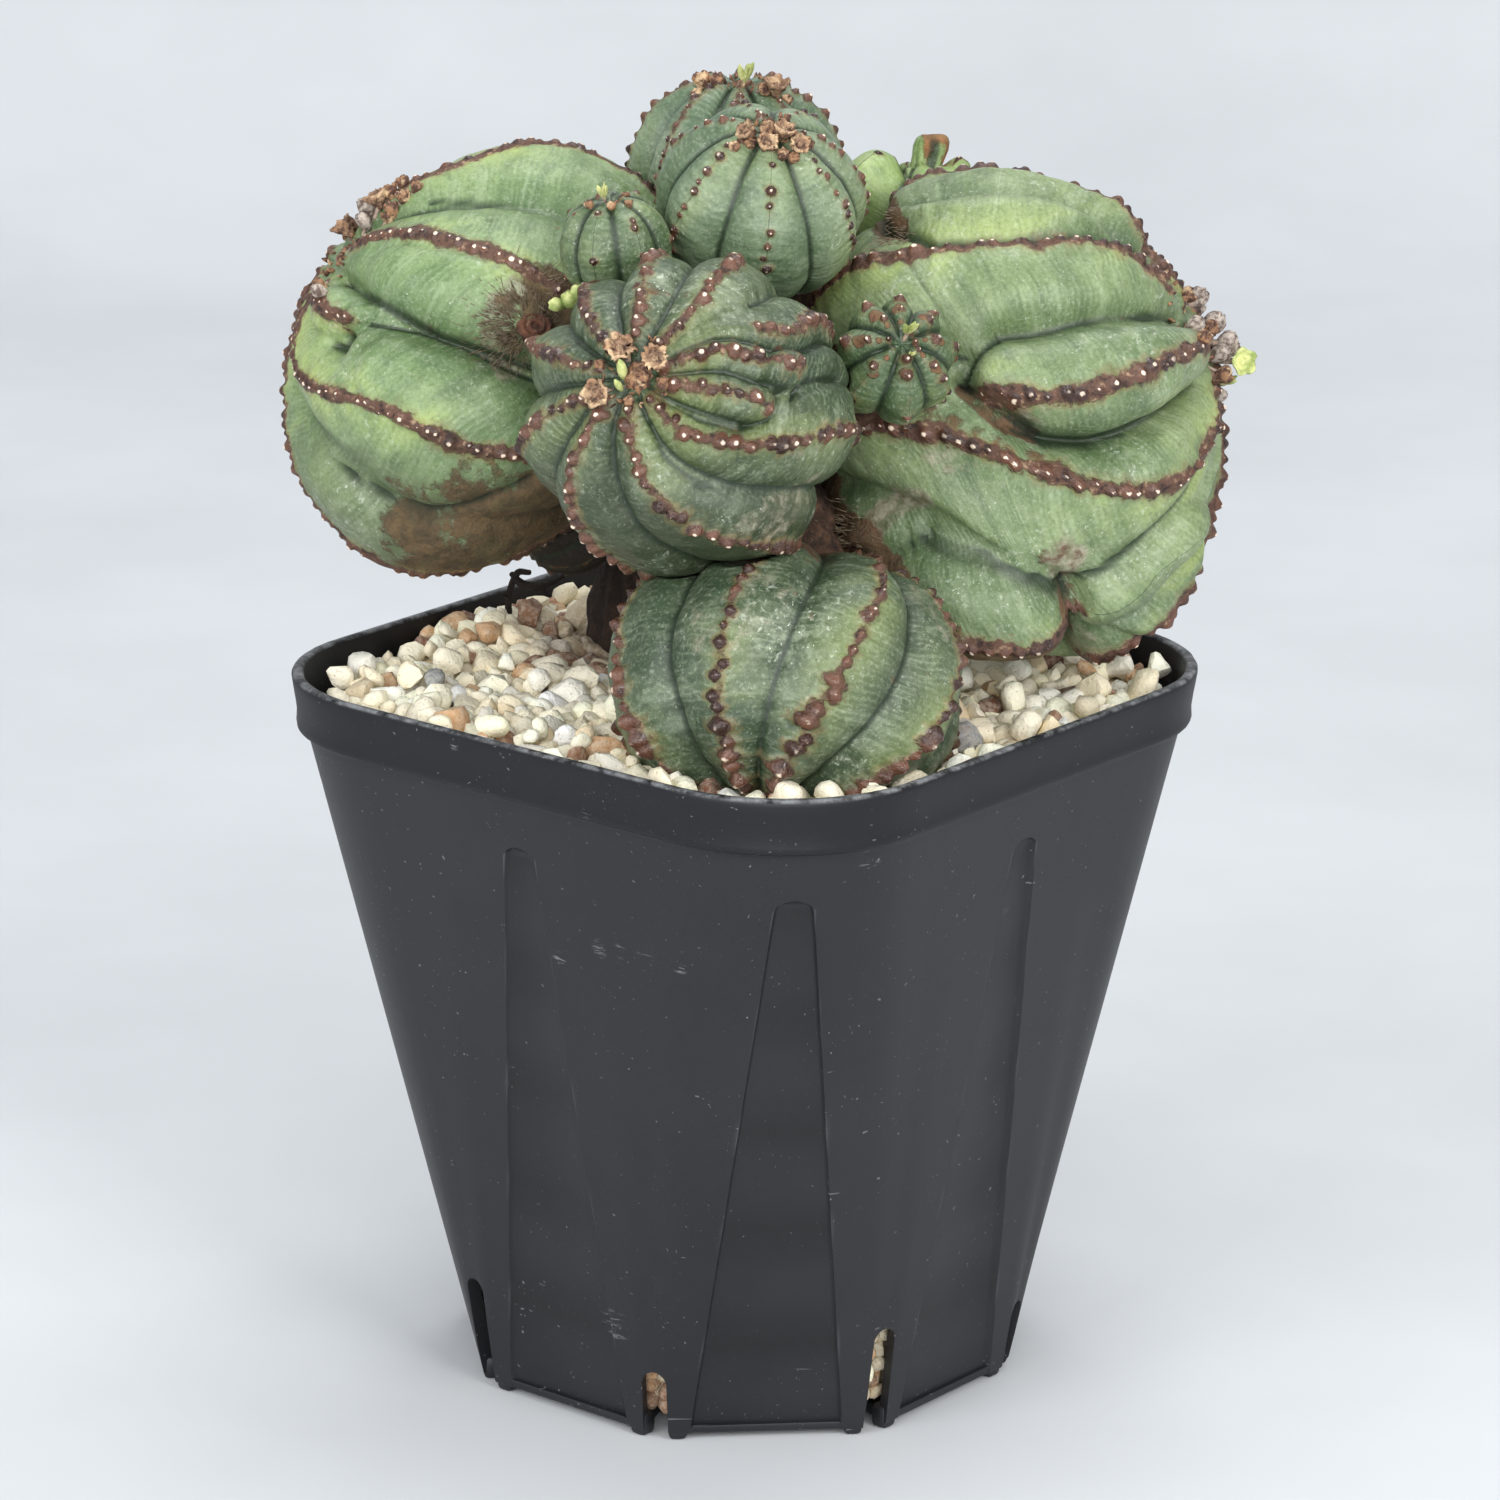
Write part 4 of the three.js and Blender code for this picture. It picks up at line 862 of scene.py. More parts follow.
def head_grid(head, seed):
    """Points of a head and what its skin wears, on a grid of rows (theta) and columns (ribs).

    Columns crowd at the crests and grooves.  Warts stand on each crest by the length run along it,
    and the fields crest, wart, tip, groove and along say where a point lies."""
    per_rib, rows = head["grid"]
    ribs = sorted(head["ribs"], key=lambda r: bearings([r], np.array([90.0]))[0, 0])
    count = len(ribs)
    theta = np.linspace(0, 180, rows + 1)[:, None]
    x = np.arange(per_rib) / per_rib
    share = x - 0.09 * np.sin(2 * np.pi * x) - 0.02 * np.sin(4 * np.pi * x)
    at = bearings(ribs, theta[:, 0]).T
    after = np.concatenate([at[:, 1:], at[:, :1] + FULL_TURN], 1)
    gap = after - at
    lam = (at[:, :, None] + gap[:, :, None] * share).reshape(rows + 1, -1)
    theta = theta + 0 * lam
    r, to_groove = head_form(head, theta, lam)
    out = outward(head, theta, lam)
    flat_radius = r * np.sin(np.radians(theta))

    crest, wart, tip, fringe, along, raise_by = (np.zeros_like(r) for _ in range(6))
    spread = (gap[:, :, None] * share).reshape(rows + 1, -1)
    paths = [crest_path(head, part) for part in ribs]
    ragged = 1 + 0.45 * lumps(out * r[..., None], 9, seed + 6)
    for step in (0, 1):
        owner = (np.repeat(np.arange(count), per_rib) + step) % count
        lateral = flat_radius * np.radians(spread - step * np.repeat(gap, per_rib, axis=1))
        for k, part in enumerate(ribs):
            mine = np.flatnonzero(owner == k)
            path_theta, length, slant = paths[k]
            t = theta[:, mine]
            tilt = np.interp(t, path_theta, slant)
            side = lateral[:, mine] * np.cos(tilt)
            run = np.interp(t, path_theta, length) + lateral[:, mine] * np.sin(tilt)
            here = presence(part, t, 0 * t)
            along[:, mine] += (share if step else 1 - share) * run
            live = here * smooth((t - 9) / 6) * smooth((168 - t) / 8)
            first = np.interp(CREST_TOP, path_theta, length)
            last = np.interp(CREST_END, path_theta, length)
            knot_rng = np.random.default_rng(seed * 31 + k)
            spots = np.arange(first, last, head["pitch"])
            spots = spots + knot_rng.normal(0, 0.17, len(spots)) * head["pitch"]
            spots = spots[knot_rng.random(len(spots)) >= head["gaps"]]
            size = knot_rng.uniform(0.6, 1.35, len(spots))
            sway = knot_rng.normal(0, 0.34, len(spots)) * head["bead"]
            near = np.abs(run[..., None] - spots[None, None, :]).argmin(-1)
            big = size[near] * (1 + head["low"] * smooth((100 - t) / 50))
            width = head["bead"] * big * (0.75 + 0.3 * np.sin(np.radians(t)))
            power = head["facet"]
            away = (np.abs((run - spots[near]) / width) ** power
                    + np.abs((side - sway[near]) / width / (power * 0.1 + 0.85)) ** power) ** (1 / power)
            cone = np.clip(1 - away ** 2, 0, 1) ** (1.1 - 0.3 * power)
            point = bell(away, 0.42)
            ridge = bell(side, 0.9 * head["crest"])
            pucker = bell(side, 2.2 * head["crest"]) - ridge
            rise = big * head["wart"] * (0.8 * cone + 0.15 * point + 0.25 * bell(away, 1.7))
            step_from = np.abs(run - spots[near]) / head["pitch"]
            rise = rise + 0.3 * head["wart"] * np.exp(-(step_from / 0.42) ** 2 - (side / 3.6) ** 2)
            rise = rise + head["chain"] * 0.5 * ridge - 0.15 * head["wart"] * pucker
            raise_by[:, mine] += live * rise
            band = np.exp(-(side / head["crest"] / ragged[:, mine]) ** 2 / 2) * head["band"]
            # The tip field marks the pale wart tips, which also get painted highlights.
            for field, value in ((crest, live * np.maximum(band, bell(away, 1.45) * 0.9)),
                                 (wart, live * cone), (tip, live * point * head["pale"]),
                                 (fringe, live * bell(side, 6.5))):
                field[:, mine] = np.maximum(field[:, mine], value)
    # The groove lines and the flanks beside grooves and creases, darkened in the skin as painted shade.
    groove = bell(to_groove, head["line"]) * smooth((theta - 4) / 10) * smooth((172 - theta) / 10)
    flank = np.exp(-to_groove / (0.1 * head["girth"][0]))
    for depth, stroke in head["creases"]:
        reach = stroke_reach(head, theta, lam, stroke)
        groove = np.maximum(groove, bell(reach, CREASE_LINE) * smooth(depth / 1.5))
        flank = np.maximum(flank, np.exp(-reach / 0.9) * smooth(depth / 2))

    points = out * r[..., None]
    wave = (np.sin(along * 2 * np.pi / 5.6 + 2.2 * lumps(points, 30, seed + 1))
            + 0.7 * np.sin(along * 2 * np.pi / 2.7 + 2.5 * lumps(points, 16, seed + 2)))
    quiet = smooth((theta - 12) / 20) * smooth((172 - theta) / 12)
    calm = quiet * min(1, head["girth"][0] / 30)
    uneven = smooth(0.6 + 0.9 * lumps(points, 12, seed + 5))
    soft = 0.5 * lumps(points, 15, seed + 3) + 0.16 * lumps(points, 5, seed + 4, 20)
    r = r + calm * (0.03 * wave * uneven * (1 - crest) + soft) + raise_by
    points = out * r[..., None] + np.array(head["centre"])
    fields = {"crest": crest, "wart": wart, "tip": tip, "groove": groove, "along": along,
              "fringe": fringe, "flank": flank}
    for kind in ("cork", "scar"):
        fields[kind] = 0 * r
        for strength, stroke in head[kind]:
            reach = stroke_reach(head, theta, lam, stroke)
            fields[kind] = np.maximum(fields[kind], strength * smooth(1.6 - reach))
    return points, fields


def depth_table(head):
    """Radius of a finished head on a regular grid of theta and lambda, for its neighbours."""
    theta = np.linspace(0, 180, TABLE_ROWS + 1)[:, None] + np.zeros(TABLE_COLUMNS + 1)
    lam = np.zeros(TABLE_ROWS + 1)[:, None] + np.linspace(0, FULL_TURN, TABLE_COLUMNS + 1)
    return head_radius(head, theta, lam) + 0.35 * head["wart"]


def inside(head, table, points, gap):
    """True where a point lies nearer a head's centre than its surface and a gap."""
    local = (points - np.array(head["centre"])) @ axes_of(head).T
    distance = np.linalg.norm(local, axis=-1)
    theta = np.degrees(np.arccos(np.clip(local[..., 0] / np.maximum(distance, 1e-9), -1, 1)))
    lam = np.degrees(np.arctan2(local[..., 2], local[..., 1])) % FULL_TURN
    i, j = theta / TABLE_STEP, lam / TABLE_STEP
    i0 = np.minimum(i.astype(int), TABLE_ROWS - 1)
    j0 = np.minimum(j.astype(int), TABLE_COLUMNS - 1)
    fi, fj = i - i0, j - j0
    radius = (table[i0, j0] * (1 - fi) * (1 - fj) + table[i0 + 1, j0] * fi * (1 - fj)
              + table[i0, j0 + 1] * (1 - fi) * fj + table[i0 + 1, j0 + 1] * fi * fj)
    return distance < radius + gap


def give_way(centre, points, others):
    """Draws points back towards their head's centre to where their line first meets a neighbour."""
    ray = points - centre
    keep = np.ones(points.shape[:-1])
    for other, table in others:
        reach = table.max() + 1
        to = np.array(other["centre"]) - centre
        share = np.clip((ray @ to) / (ray ** 2).sum(-1), 0, 1)
        miss = np.linalg.norm(ray * share[..., None] - to, axis=-1)
        rows = np.nonzero(miss < reach)
        line = ray[rows]
        low, high = np.full(len(line), 0.1), np.ones(len(line))
        hit = np.zeros(len(line), bool)
        for s in np.linspace(0.16, 1, 29):
            within = inside(other, table, centre + line * s, NEIGHBOUR_GAP) & ~hit
            high[within], hit = s, hit | within
            low = np.where(hit, low, s)
        for _ in range(9):
            middle = (low + high) / 2
            within = inside(other, table, centre + line * middle[:, None], NEIGHBOUR_GAP)
            high = np.where(hit & within, middle, high)
            low = np.where(hit & ~within, middle, low)
        keep[rows] = np.minimum(keep[rows], np.where(hit, low, 1))
    return centre + ray * keep[..., None], keep


def ends_once(values):
    """A grid's values as the closed skin lists its points: each end row once."""
    return np.concatenate([values[:1, 0], values[1:-1].reshape(-1), values[-1:, 0]])


def darker(colour, share):
    """A colour with its light brought down to a share."""
    return [c * share for c in colour[:3]] + [1.0]


def head_skin(name, young, light, mid, deep, bloom, rust, painted_shade):
    """Waxy succulent skin in a head's own greens, with crest, warts, bands, cracks and scurf, painted
    shade in the grooves and underneath, and painted highlights on the wart tips.
    """
    material, tree, shader = new_finish(name)
    crest, wart, tip, groove, along, shade, cork, scar, flank, fringe = (
        stored_field(tree, key) for key in "crest wart tip groove along shade cork scar flank fringe".split())
    patch, blot = grain(tree, 30, 4, 0.6, twist=0.5), grain(tree, 105, 4, 0.6, twist=0.4)
    fine = grain(tree, 420, 4, 0.62)
    # Lighter and middle green in patches, a touch darker underneath as painted shade.
    skin = blend(fade(plus(patch, times(shade, 0.14)), 0.4, 0.68), light, mid)
    skin = blend(fade(blot, 0.46, 0.72, 0, 0.5), skin, mid)
    skin = blend(fade(grain(tree, 62, 5, 0.65), 0.54, 0.72, 0, 0.55), skin, deep)
    # Painted shade: deeper green on the flanks towards the grooves and creases.
    skin = blend(times(flank, plus(times(blot, 0.6), 0.35)), skin, deep)
    # Uneven dark and pale streaks that run across the ribs, finer than the bands.
    for run, hue, low, high, most in ((0.2, deep, 0.5, 0.66, 0.36), (0.2, bloom, 0.46, 0.32, 0.16),
                                      (0.7, deep, 0.54, 0.7, 0.24), (0.55, bloom, 0.42, 0.28, 0.14)):
        over = add(tree, "CombineXYZ", {0: times(along, run), 1: fringe, 2: times(patch, 1.2)}).outputs[0]
        skin = blend(fade(grain(tree, 1.0, 3, 0.6, over), low, high, 0, most), skin, hue)
    # Younger yellow-green tissue beside the crests.
    skin = blend(times(fringe, fade(patch, 0.5, 0.36, 0, young)), skin, paint(164, 180, 104))
    # Fine bands that run across the ribs.
    waver = times(grain(tree, 90, 3, 0.6), 18.0)
    band = sums("SINE", plus(times(along, 2 * np.pi / 1.5), waver), 0.0)
    broken = fade(grain(tree, 130, 4, 0.65), 0.44, 0.66)
    skin = blend(times(times(fade(band, 0.2, 1.0), broken), 0.15), skin, bloom)
    skin = blend(times(fade(band, 0.0, -1.0), fade(fine, 0.40, 0.65, 0, 0.26)), skin, deep)
    speckle = grain(tree, 1250, 3, 0.7)
    skin = blend(fade(speckle, 0.52, 0.66, 0, 0.3), skin, deep)
    skin = blend(fade(speckle, 0.46, 0.34, 0, 0.2), skin, bloom)
    # Painted shade: grey-green on the sides that face down.
    skin = blend(fade(plus(shade, times(plus(blot, -0.5), 0.4)), 0.5, 0.95, 0, 0.65), skin, painted_shade)
    # Waxy bloom, pale scurf and dust specks.
    drift = fade(grain(tree, 48, 5, 0.65), 0.45, 0.75)
    skin = blend(times(drift, fade(fine, 0.42, 0.66, 0, 0.4)), skin, bloom)
    scurf = fade(grain(tree, 800, 3, 0.6), 0.59, 0.68, 0, 0.55)
    skin = blend(times(plus(drift, 0.15), scurf), skin, paint(200, 206, 190))
    grit = fade(grain(tree, 1500, 2, 0.5), 0.70, 0.74)
    skin = blend(times(grit, plus(times(drift, 0.8), 0.25)), skin, paint(220, 222, 208))
    # Small brown flecks.
    fleck = fade(grain(tree, 190, 3, 0.6), 0.70, 0.76, 0, 0.6)
    skin = blend(fleck, skin, paint(112, 84, 60))
    # Scars: grey healed skin and brown cork, both with ragged speckled edges.
    ragged = plus(times(plus(grain(tree, 160, 6, 0.72), -0.5), 1.5), times(plus(fine, -0.5), 0.6))
    grey = fade(plus(scar, ragged), 0.38, 0.9, 0, 0.85)
    healed = blend(fade(fine, 0.35, 0.65), paint(108, 98, 78), paint(160, 154, 134))
    skin = blend(grey, skin, healed)
    mottled = plus(ragged, times(plus(grain(tree, 66, 4, 0.6), -0.5), 1.3))
    corky = fade(plus(cork, mottled), 0.45, 0.72)
    cork_tone = blend(fade(grain(tree, 300, 4, 0.7), 0.35, 0.65), darker(rust, 0.42), rust)
    greened = [c * 0.66 + d * 0.3 for c, d in zip(rust[:3], deep[:3])] + [1.0]
    worn_off = fade(plus(blot, times(plus(fine, -0.5), 0.4)), 0.5, 0.66, 0, 0.55)
    cork_tone = blend(worn_off, cork_tone, greened)
    skin = blend(times(corky, 0.92), skin, cork_tone)
    # Dark grooves.
    # Dark lines in the grooves and creases: darker green skin, deepened as painted shade.
    skin = blend(fade(groove, 0.2, 0.9, 0, 0.85), skin, paint(28, 42, 26))
    # Crest: a ragged corky band, then hard glossy warts with pale tips that also carry painted
    # highlights.
    edge = plus(plus(crest, times(plus(fine, -0.5), 1.1)), times(plus(blot, -0.5), 0.5))
    halo = fade(plus(edge, 0.14), 0.3, 0.7, 0, 0.45)
    tanned = blend(fade(blot, 0.4, 0.6), paint(132, 106, 64), paint(112, 108, 74))
    skin = blend(halo, skin, tanned)
    on_crest = fade(edge, 0.5, 0.75)
    tone = grain(tree, 460, 4, 0.65)
    brown = blend(fade(tone, 0.34, 0.5), paint(44, 28, 22), paint(92, 64, 50))
    brown = blend(fade(tone, 0.55, 0.68), brown, paint(156, 128, 102))
    skin = blend(on_crest, skin, brown)
    horn = blend(fade(blot, 0.38, 0.62), paint(52, 32, 26), paint(102, 68, 52))
    skin = blend(fade(wart, 0.12, 0.5), skin, horn)
    # Pale wart tips: partly their own colour, partly painted highlight.
    pale_tip_and_glint = fade(plus(tip, times(plus(fine, -0.5), 1.2)), 0.5, 0.78)
    skin = blend(times(pale_tip_and_glint, fade(blot, 0.34, 0.5, 0.3, 1.0)), skin, paint(240, 218, 196))
    join(shader, Base_Color=skin)
    dull = sums("MAXIMUM", corky, times(on_crest, 0.7))
    rough = plus(times(fine, 0.24), plus(times(dull, 0.3), 0.34))
    join(shader, Roughness=sums("SUBTRACT", rough, times(fade(wart, 0.2, 0.6), 0.4), True))
    low = relief(grain(tree, 260, 5, 0.65), 0.0004)
    low = relief(times(band, broken), 0.00002, low)
    crust = plus(sums("MAXIMUM", sums("MAXIMUM", corky, on_crest), times(grey, 0.5)), 0.08)
    crust = sums("SUBTRACT", crust, times(wart, 0.8), True)
    low = relief(times(grain(tree, 850, 4, 0.7), crust), 0.0006, low)
    join(shader, Normal=low)
    shader.inputs["Subsurface Weight"].default_value = 0.05
    shader.inputs["Subsurface Radius"].default_value = (0.4, 1.0, 0.3)
    shader.inputs["Subsurface Scale"].default_value = 0.002
    return material


GREENS = {               # light, middle and deep green, and how much young yellow-green
    "head_centre": ((86, 97, 68), (61, 78, 50), (28, 48, 27), 0.25),
    "pup_left": ((94, 111, 76), (66, 87, 53), (30, 53, 28), 0.2),
    "pup_right": ((94, 111, 76), (66, 87, 53), (30, 53, 28), 0.3),
    "head_top": ((120, 136, 108), (94, 113, 84), (44, 69, 43), 0.2),
    "head_front": ((79, 92, 68), (56, 73, 50), (27, 47, 27), 0.3),
    "head_left": ((137, 158, 108), (102, 126, 80), (54, 80, 45), 0.9),
    "head_right": ((130, 146, 102), (98, 117, 78), (52, 76, 45), 0.8),
    "head_top_back": ((116, 132, 108), (92, 112, 85), (44, 70, 44), 0.2),
    # The shaded head's greens are near black: painted shade.
    "head_shaded": ((26, 25, 17), (20, 20, 14), (13, 14, 10), 0.0),
    "pup_back": ((170, 190, 122), (136, 162, 96), (84, 108, 58), 0.5),
}
# The shaded head's bloom, cork and underside colours are near black as painted shade too.
BLOOM = {"head_shaded": (40, 38, 28)}
RUST = {"head_left": (100, 77, 49), "pup_back": (158, 102, 64), "pup_right": (136, 88, 60),
        "head_shaded": (40, 30, 22)}
# Greens of the painted shade on the sides that face down.
PAINTED_SHADE_GREENS = {"head_centre": (44, 48, 29), "head_shaded": (12, 12, 9)}
PLAIN_BLOOM, PLAIN_RUST, PLAIN_PAINTED_SHADE = (176, 190, 160), (108, 76, 52), (86, 92, 68)

grown = []
for seed, (name, head) in enumerate(HEADS.items(), 1):
    points, fields = head_grid(head, seed)
    centre = np.array(head["centre"])
    points, keep = give_way(centre, points, grown)
    grown.append((head, depth_table(head)))
    piece = build_piece(name + "_skin", *closed_skin(points))
    # How far a point faces down, for the painted shade underneath.
    fields["shade"] = (0.5 - 0.5 * unit(points - centre)[..., 2]) * head["dim"]
    fields["cork"] = np.maximum(fields["cork"], smooth((1 - keep) * 12) * 0.45)
    for key, values in fields.items():
        give_field(piece, key, ends_once(values))
    *cards, young = GREENS[name]
    cards += [BLOOM.get(name, PLAIN_BLOOM), RUST.get(name, PLAIN_RUST), PAINTED_SHADE_GREENS.get(name, PLAIN_PAINTED_SHADE)]
    piece.data.materials.append(head_skin(name + "_skin", young, *(paint(*card) for card in cards)))
    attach(piece, "root")
    if name != "head_shaded":
        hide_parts(name)

# ---------------------------------------------------------------- woody stem

# The old stem that carries the heads: a short trunk in the gravel that forks to the foot of every
# head.  Bare cork and bark, furrowed lengthwise and ringed, with painted shade low under the heads.
LIMBS = [
    ([[-9, 46, 96], [-9, 44, 141], [-6, 30, 180], [-3, 22, 214], [-1, 30, 226]], [9, 16, 15, 12, 8]),
    ([[-6, 26, 172], [-22, 20, 180], [-34, 20, 188]], [12, 11, 9]),
    ([[-4, 26, 172], [10, 14, 178], [24, 8, 184]], [12, 12, 10]),
    ([[-4, 20, 196], [-4, -8, 200], [-8, -24, 202]], [10, 9, 8]),
    ([[2, 14, 182], [8, -12, 180], [7, -30, 174]], [10, 9, 8]),
    ([[-3, 20, 214], [-2, 4, 222], [-1, -2, 230]], [9, 8, 7]),
    ([[-6, 10, 212], [-18, -8, 220], [-27, -18, 230]], [7, 6, 4]),
    ([[4, 0, 196], [16, -22, 206], [21, -32, 212]], [7, 6, 4]),
    ([[2, 24, 212], [20, 34, 218], [32, 38, 222]], [8, 7, 5]),
    ([[-20, 36, 136], [-20, 34, 150], [-14, 29, 168]], [9, 9, 8]),
]
BARK_VOXEL, BARK_SEED = 0.0013, 71       # metres; first of the seeds of its relief
BLUNT = 0.45              # how far a limb's rounded end stands out, in radii


def smooth_path(knots, count):
    """Points, directions and knot numbers on a cubic through the knots, with their mean slopes."""
    knots = np.array(knots, float)
    slope = np.gradient(knots, axis=0)
    x = np.linspace(0, len(knots) - 1, count)
    i = np.minimum(x.astype(int), len(knots) - 2)
    points = cubic((x - i)[:, None], knots[i], slope[i], knots[i + 1], slope[i + 1])
    way = np.gradient(points, axis=0)
    return points, unit(way), x


def tube_rings(knots, radii, around, count, side=(1, 0.3, 0.1)):
    """Rings of a round limb carried along a smooth path, drawn in to a point at each end."""
    points, way, x = smooth_path(knots, count)
    radius = np.interp(x, np.arange(len(radii)), radii)
    n = unit(np.array(side) - way * (way @ np.array(side))[:, None])
    b = np.cross(way, n)
    turn = np.arange(around) * 2 * np.pi / around
    rings = (points[:, None] + radius[:, None, None] * (n[:, None] * np.cos(turn)[:, None]
                                                      + b[:, None] * np.sin(turn)[:, None]))
    flat = 0 * rings[:1]
    head, tail = way[0] * radius[0] * BLUNT, way[-1] * radius[-1] * BLUNT
    near = [flat + points[0] - head, points[0] + (rings[:1] - points[0]) * 0.7 - head * 0.75]
    far = [points[-1] + (rings[-1:] - points[-1]) * 0.7 + tail * 0.75, flat + points[-1] + tail]
    return np.concatenate(near + [rings] + far)


def gather(skins):
    """Several closed skins as one list of points, quads and triangles."""
    starts = np.cumsum([0] + [len(s[0]) for s in skins])
    return (np.concatenate([s[0] for s in skins]),
            np.concatenate([s[1] + i for s, i in zip(skins, starts)]),
            np.concatenate([s[2] + i for s, i in zip(skins, starts)]))


rough_stem = build_piece("stem_limbs", *gather([closed_skin(tube_rings(k, r, 20, 30)) for k, r in LIMBS]))
weld = rough_stem.modifiers.new("weld", "REMESH")
weld.mode, weld.voxel_size = "VOXEL", BARK_VOXEL
stem_mesh = worked_mesh(rough_stem)
bpy.data.objects.remove(rough_stem)
stem_mesh.name = "stem_bark"
at, facing = mesh_points(stem_mesh)
furrow = np.abs(lumps(at * [1, 1, 0.22], 5, BARK_SEED, 18))
ring = lumps(at * [0.25, 0.25, 1], 4, BARK_SEED + 1, 12)
push = 0.9 * lumps(at, 16, BARK_SEED + 2) + 0.9 * furrow + 0.3 * ring
push = push + 0.25 * lumps(at, 2.6, BARK_SEED + 3, 20) - 0.6
at = at + facing * push[:, None]
stem_mesh.vertices.foreach_set("co", (at * MM).astype(np.float32).ravel())
stem_mesh.update()
stem_mesh.shade_smooth()
stem = put("stem_bark", stem_mesh)
give_field(stem, "furrow", smooth(1 - furrow * 2))


def bark(name, light, dark):
    """Dry cork: brown ridges with dark furrows and a dusting of grey, and painted shade low under the
    heads.
    """
    material, tree, shader = new_finish(name)
    fine = grain(tree, 480, 5, 0.7)
    broad = grain(tree, 90, 4, 0.6)
    tone = blend(fade(plus(times(fine, 0.5), times(broad, 0.5)), 0.35, 0.66), dark, light)
    tone = blend(times(stored_field(tree, "furrow"), 0.7), tone, dark)
    tone = blend(fade(grain(tree, 1300, 2, 0.5), 0.66, 0.74, 0, 0.4), tone, paint(150, 138, 120))
    height = add(tree, "SeparateXYZ", {0: place(tree)}).outputs["Z"]
    # Painted shade: darker below 0.176 m, low under the heads, on every piece with this finish.
    tone = blend(fade(height, 0.176, 0.156, 0, 0.7), tone, darker(dark, 0.25))
    join(shader, Base_Color=tone, Normal=relief(fine, 0.0007))
    shader.inputs["Roughness"].default_value = 0.9
    return material


stem.data.materials.append(bark("stem_cork", paint(104, 74, 54), paint(38, 25, 18)))
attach(stem, "root")
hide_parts("trunk")

# ---------------------------------------------------------------- dried flower stalks and buds

# Each growing tip carries a tuft of old flower cups, papery and tan, on short hard stalks, with
# woolly grey knobs, and fresh yellow-green buds or leaves among some of them.
BUNCH_SEED = 40
BUNCHES = {      # head, cushion radius, [theta, lambda, size, lift above the skin, kind]
    "stalks_centre": ("head_centre", 3.6, [
        (9, -146, 1.6, 1.9, "cup"), (11, 111, 1.5, 1.9, "cup"), (14, -50, 1.65, 1.8, "cup"),
        (6, 63, 1.3, 1.2, "knob"), (15, 71, 1.2, 1.0, "knob"), (4, -70, 1.45, 1.0, "shoot"),
        (8, -30, 1.0, 0.6, "shoot"), (12, 5, 1.0, 0.8, "knob"), (14, -100, 1.0, 0.8, "knob")]),
    "stalks_top": ("head_top", 3.0, [
        (28, -48, 1.1, 0.6, "knob"), (16, -49, 1.3, 1.2, "brown"), (19, -8, 1.25, 1.2, "cup"),
        (10, 44, 1.4, 1.2, "brown"), (22, 47, 1.2, 1.2, "cup"), (24, 20, 1.2, 1.0, "knob"),
        (24, 66, 1.3, 1.0, "knob"), (27, 34, 1.2, 0.9, "knob"), (14, -70, 1.1, 0.8, "wool"),
        (20, -36, 1.1, 0.8, "knob"), (8, 0, 1.2, 0.8, "brown"),
        (5, -170, 1.2, 0.9, "knob"), (16, 75, 1.1, 0.7, "knob")]),
    "stalks_top_back": ("head_top_back", 2.8, [
        (20, -77, 1.8, 1.2, "knob"), (14, -60, 1.4, 1.2, "knob"), (26, 45, 1.5, 1.3, "brown"),
        (24, 52, 1.3, 1.0, "knob"), (22, 36, 1.4, 1.2, "knob"), (26, -64, 1.3, 0.6, "knob"),
        (18, 60, 1.3, 1.2, "knob"), (12, 10, 1.5, 2.2, "leaves"), (30, 62, 1.2, 0.8, "knob")]),
    "stalks_left": ("head_left", 3.6, [
        (8, 100, 1.5, 1.4, "brown"), (16, 88, 1.6, 1.4, "wool"), (20, 75, 1.4, 1.2, "brown"),
        (18, 100, 1.4, 1.6, "knob"), (14, 70, 1.5, 1.4, "wool"), (24, 78, 1.6, 1.0, "knob"),
        (28, 66, 1.5, 0.8, "knob"), (22, 60, 1.3, 0.9, "knob"),
        (24, 62, 1.5, 1.0, "knob"), (12, 130, 1.6, 1.2, "knob"), (22, 96, 1.5, 1.4, "knob"),
        (28, 80, 1.4, 1.0, "knob"), (27, -20, 1.4, 1.2, "wool"), (18, -30, 1.5, 1.2, "knob"),
        (32, 68, 1.2, 0.8, "knob")]),
    "stalks_right": ("head_right", 3.8, [
        (18, -162, 2.2, 1.8, "wool"), (8, 169, 2.3, 3.4, "wool"), (18, 154, 1.9, 3.4, "wool"),
        (14, 124, 1.75, 5.4, "flower"), (17, 112, 1.1, 3.0, "leaves"), (10, 140, 1.9, 5.0, "wool"),
        (20, 8, 1.5, 0.8, "knob"), (10, 120, 1.9, 2.6, "wool"), (14, 100, 1.8, 2.2, "knob"),
        (18, 128, 1.5, 1.4, "knob"), (6, 0, 1.8, 1.6, "wool"), (16, 175, 1.6, 1.6, "knob"),
        (12, -140, 1.7, 1.2, "knob"), (20, 110, 1.5, 1.0, "wool"),
        (22, 170, 1.6, 1.4, "knob"), (24, -172, 1.5, 1.6, "wool"), (22, 140, 1.8, 2.0, "wool"),
        (14, 145, 1.9, 4.4, "wool"), (3, 140, 1.7, 3.2, "knob"), (28, -175, 1.4, 0.9, "knob")]),
    "sprout_pup_left": ("pup_left", 0, [
        (9, -30, 0.95, 1.6, "leaves"), (22, 10, 0.9, 0.6, "knob"), (24, -60, 0.9, 0.5, "knob"),
        (26, 60, 0.8, 0.4, "knob"), (20, 110, 0.8, 0.4, "knob")]),
    "sprout_pup_right": ("pup_right", 0, [
        (8, 151, 1.15, 2.4, "leaves"), (16, 30, 0.6, 1.2, "leaves")]),
}
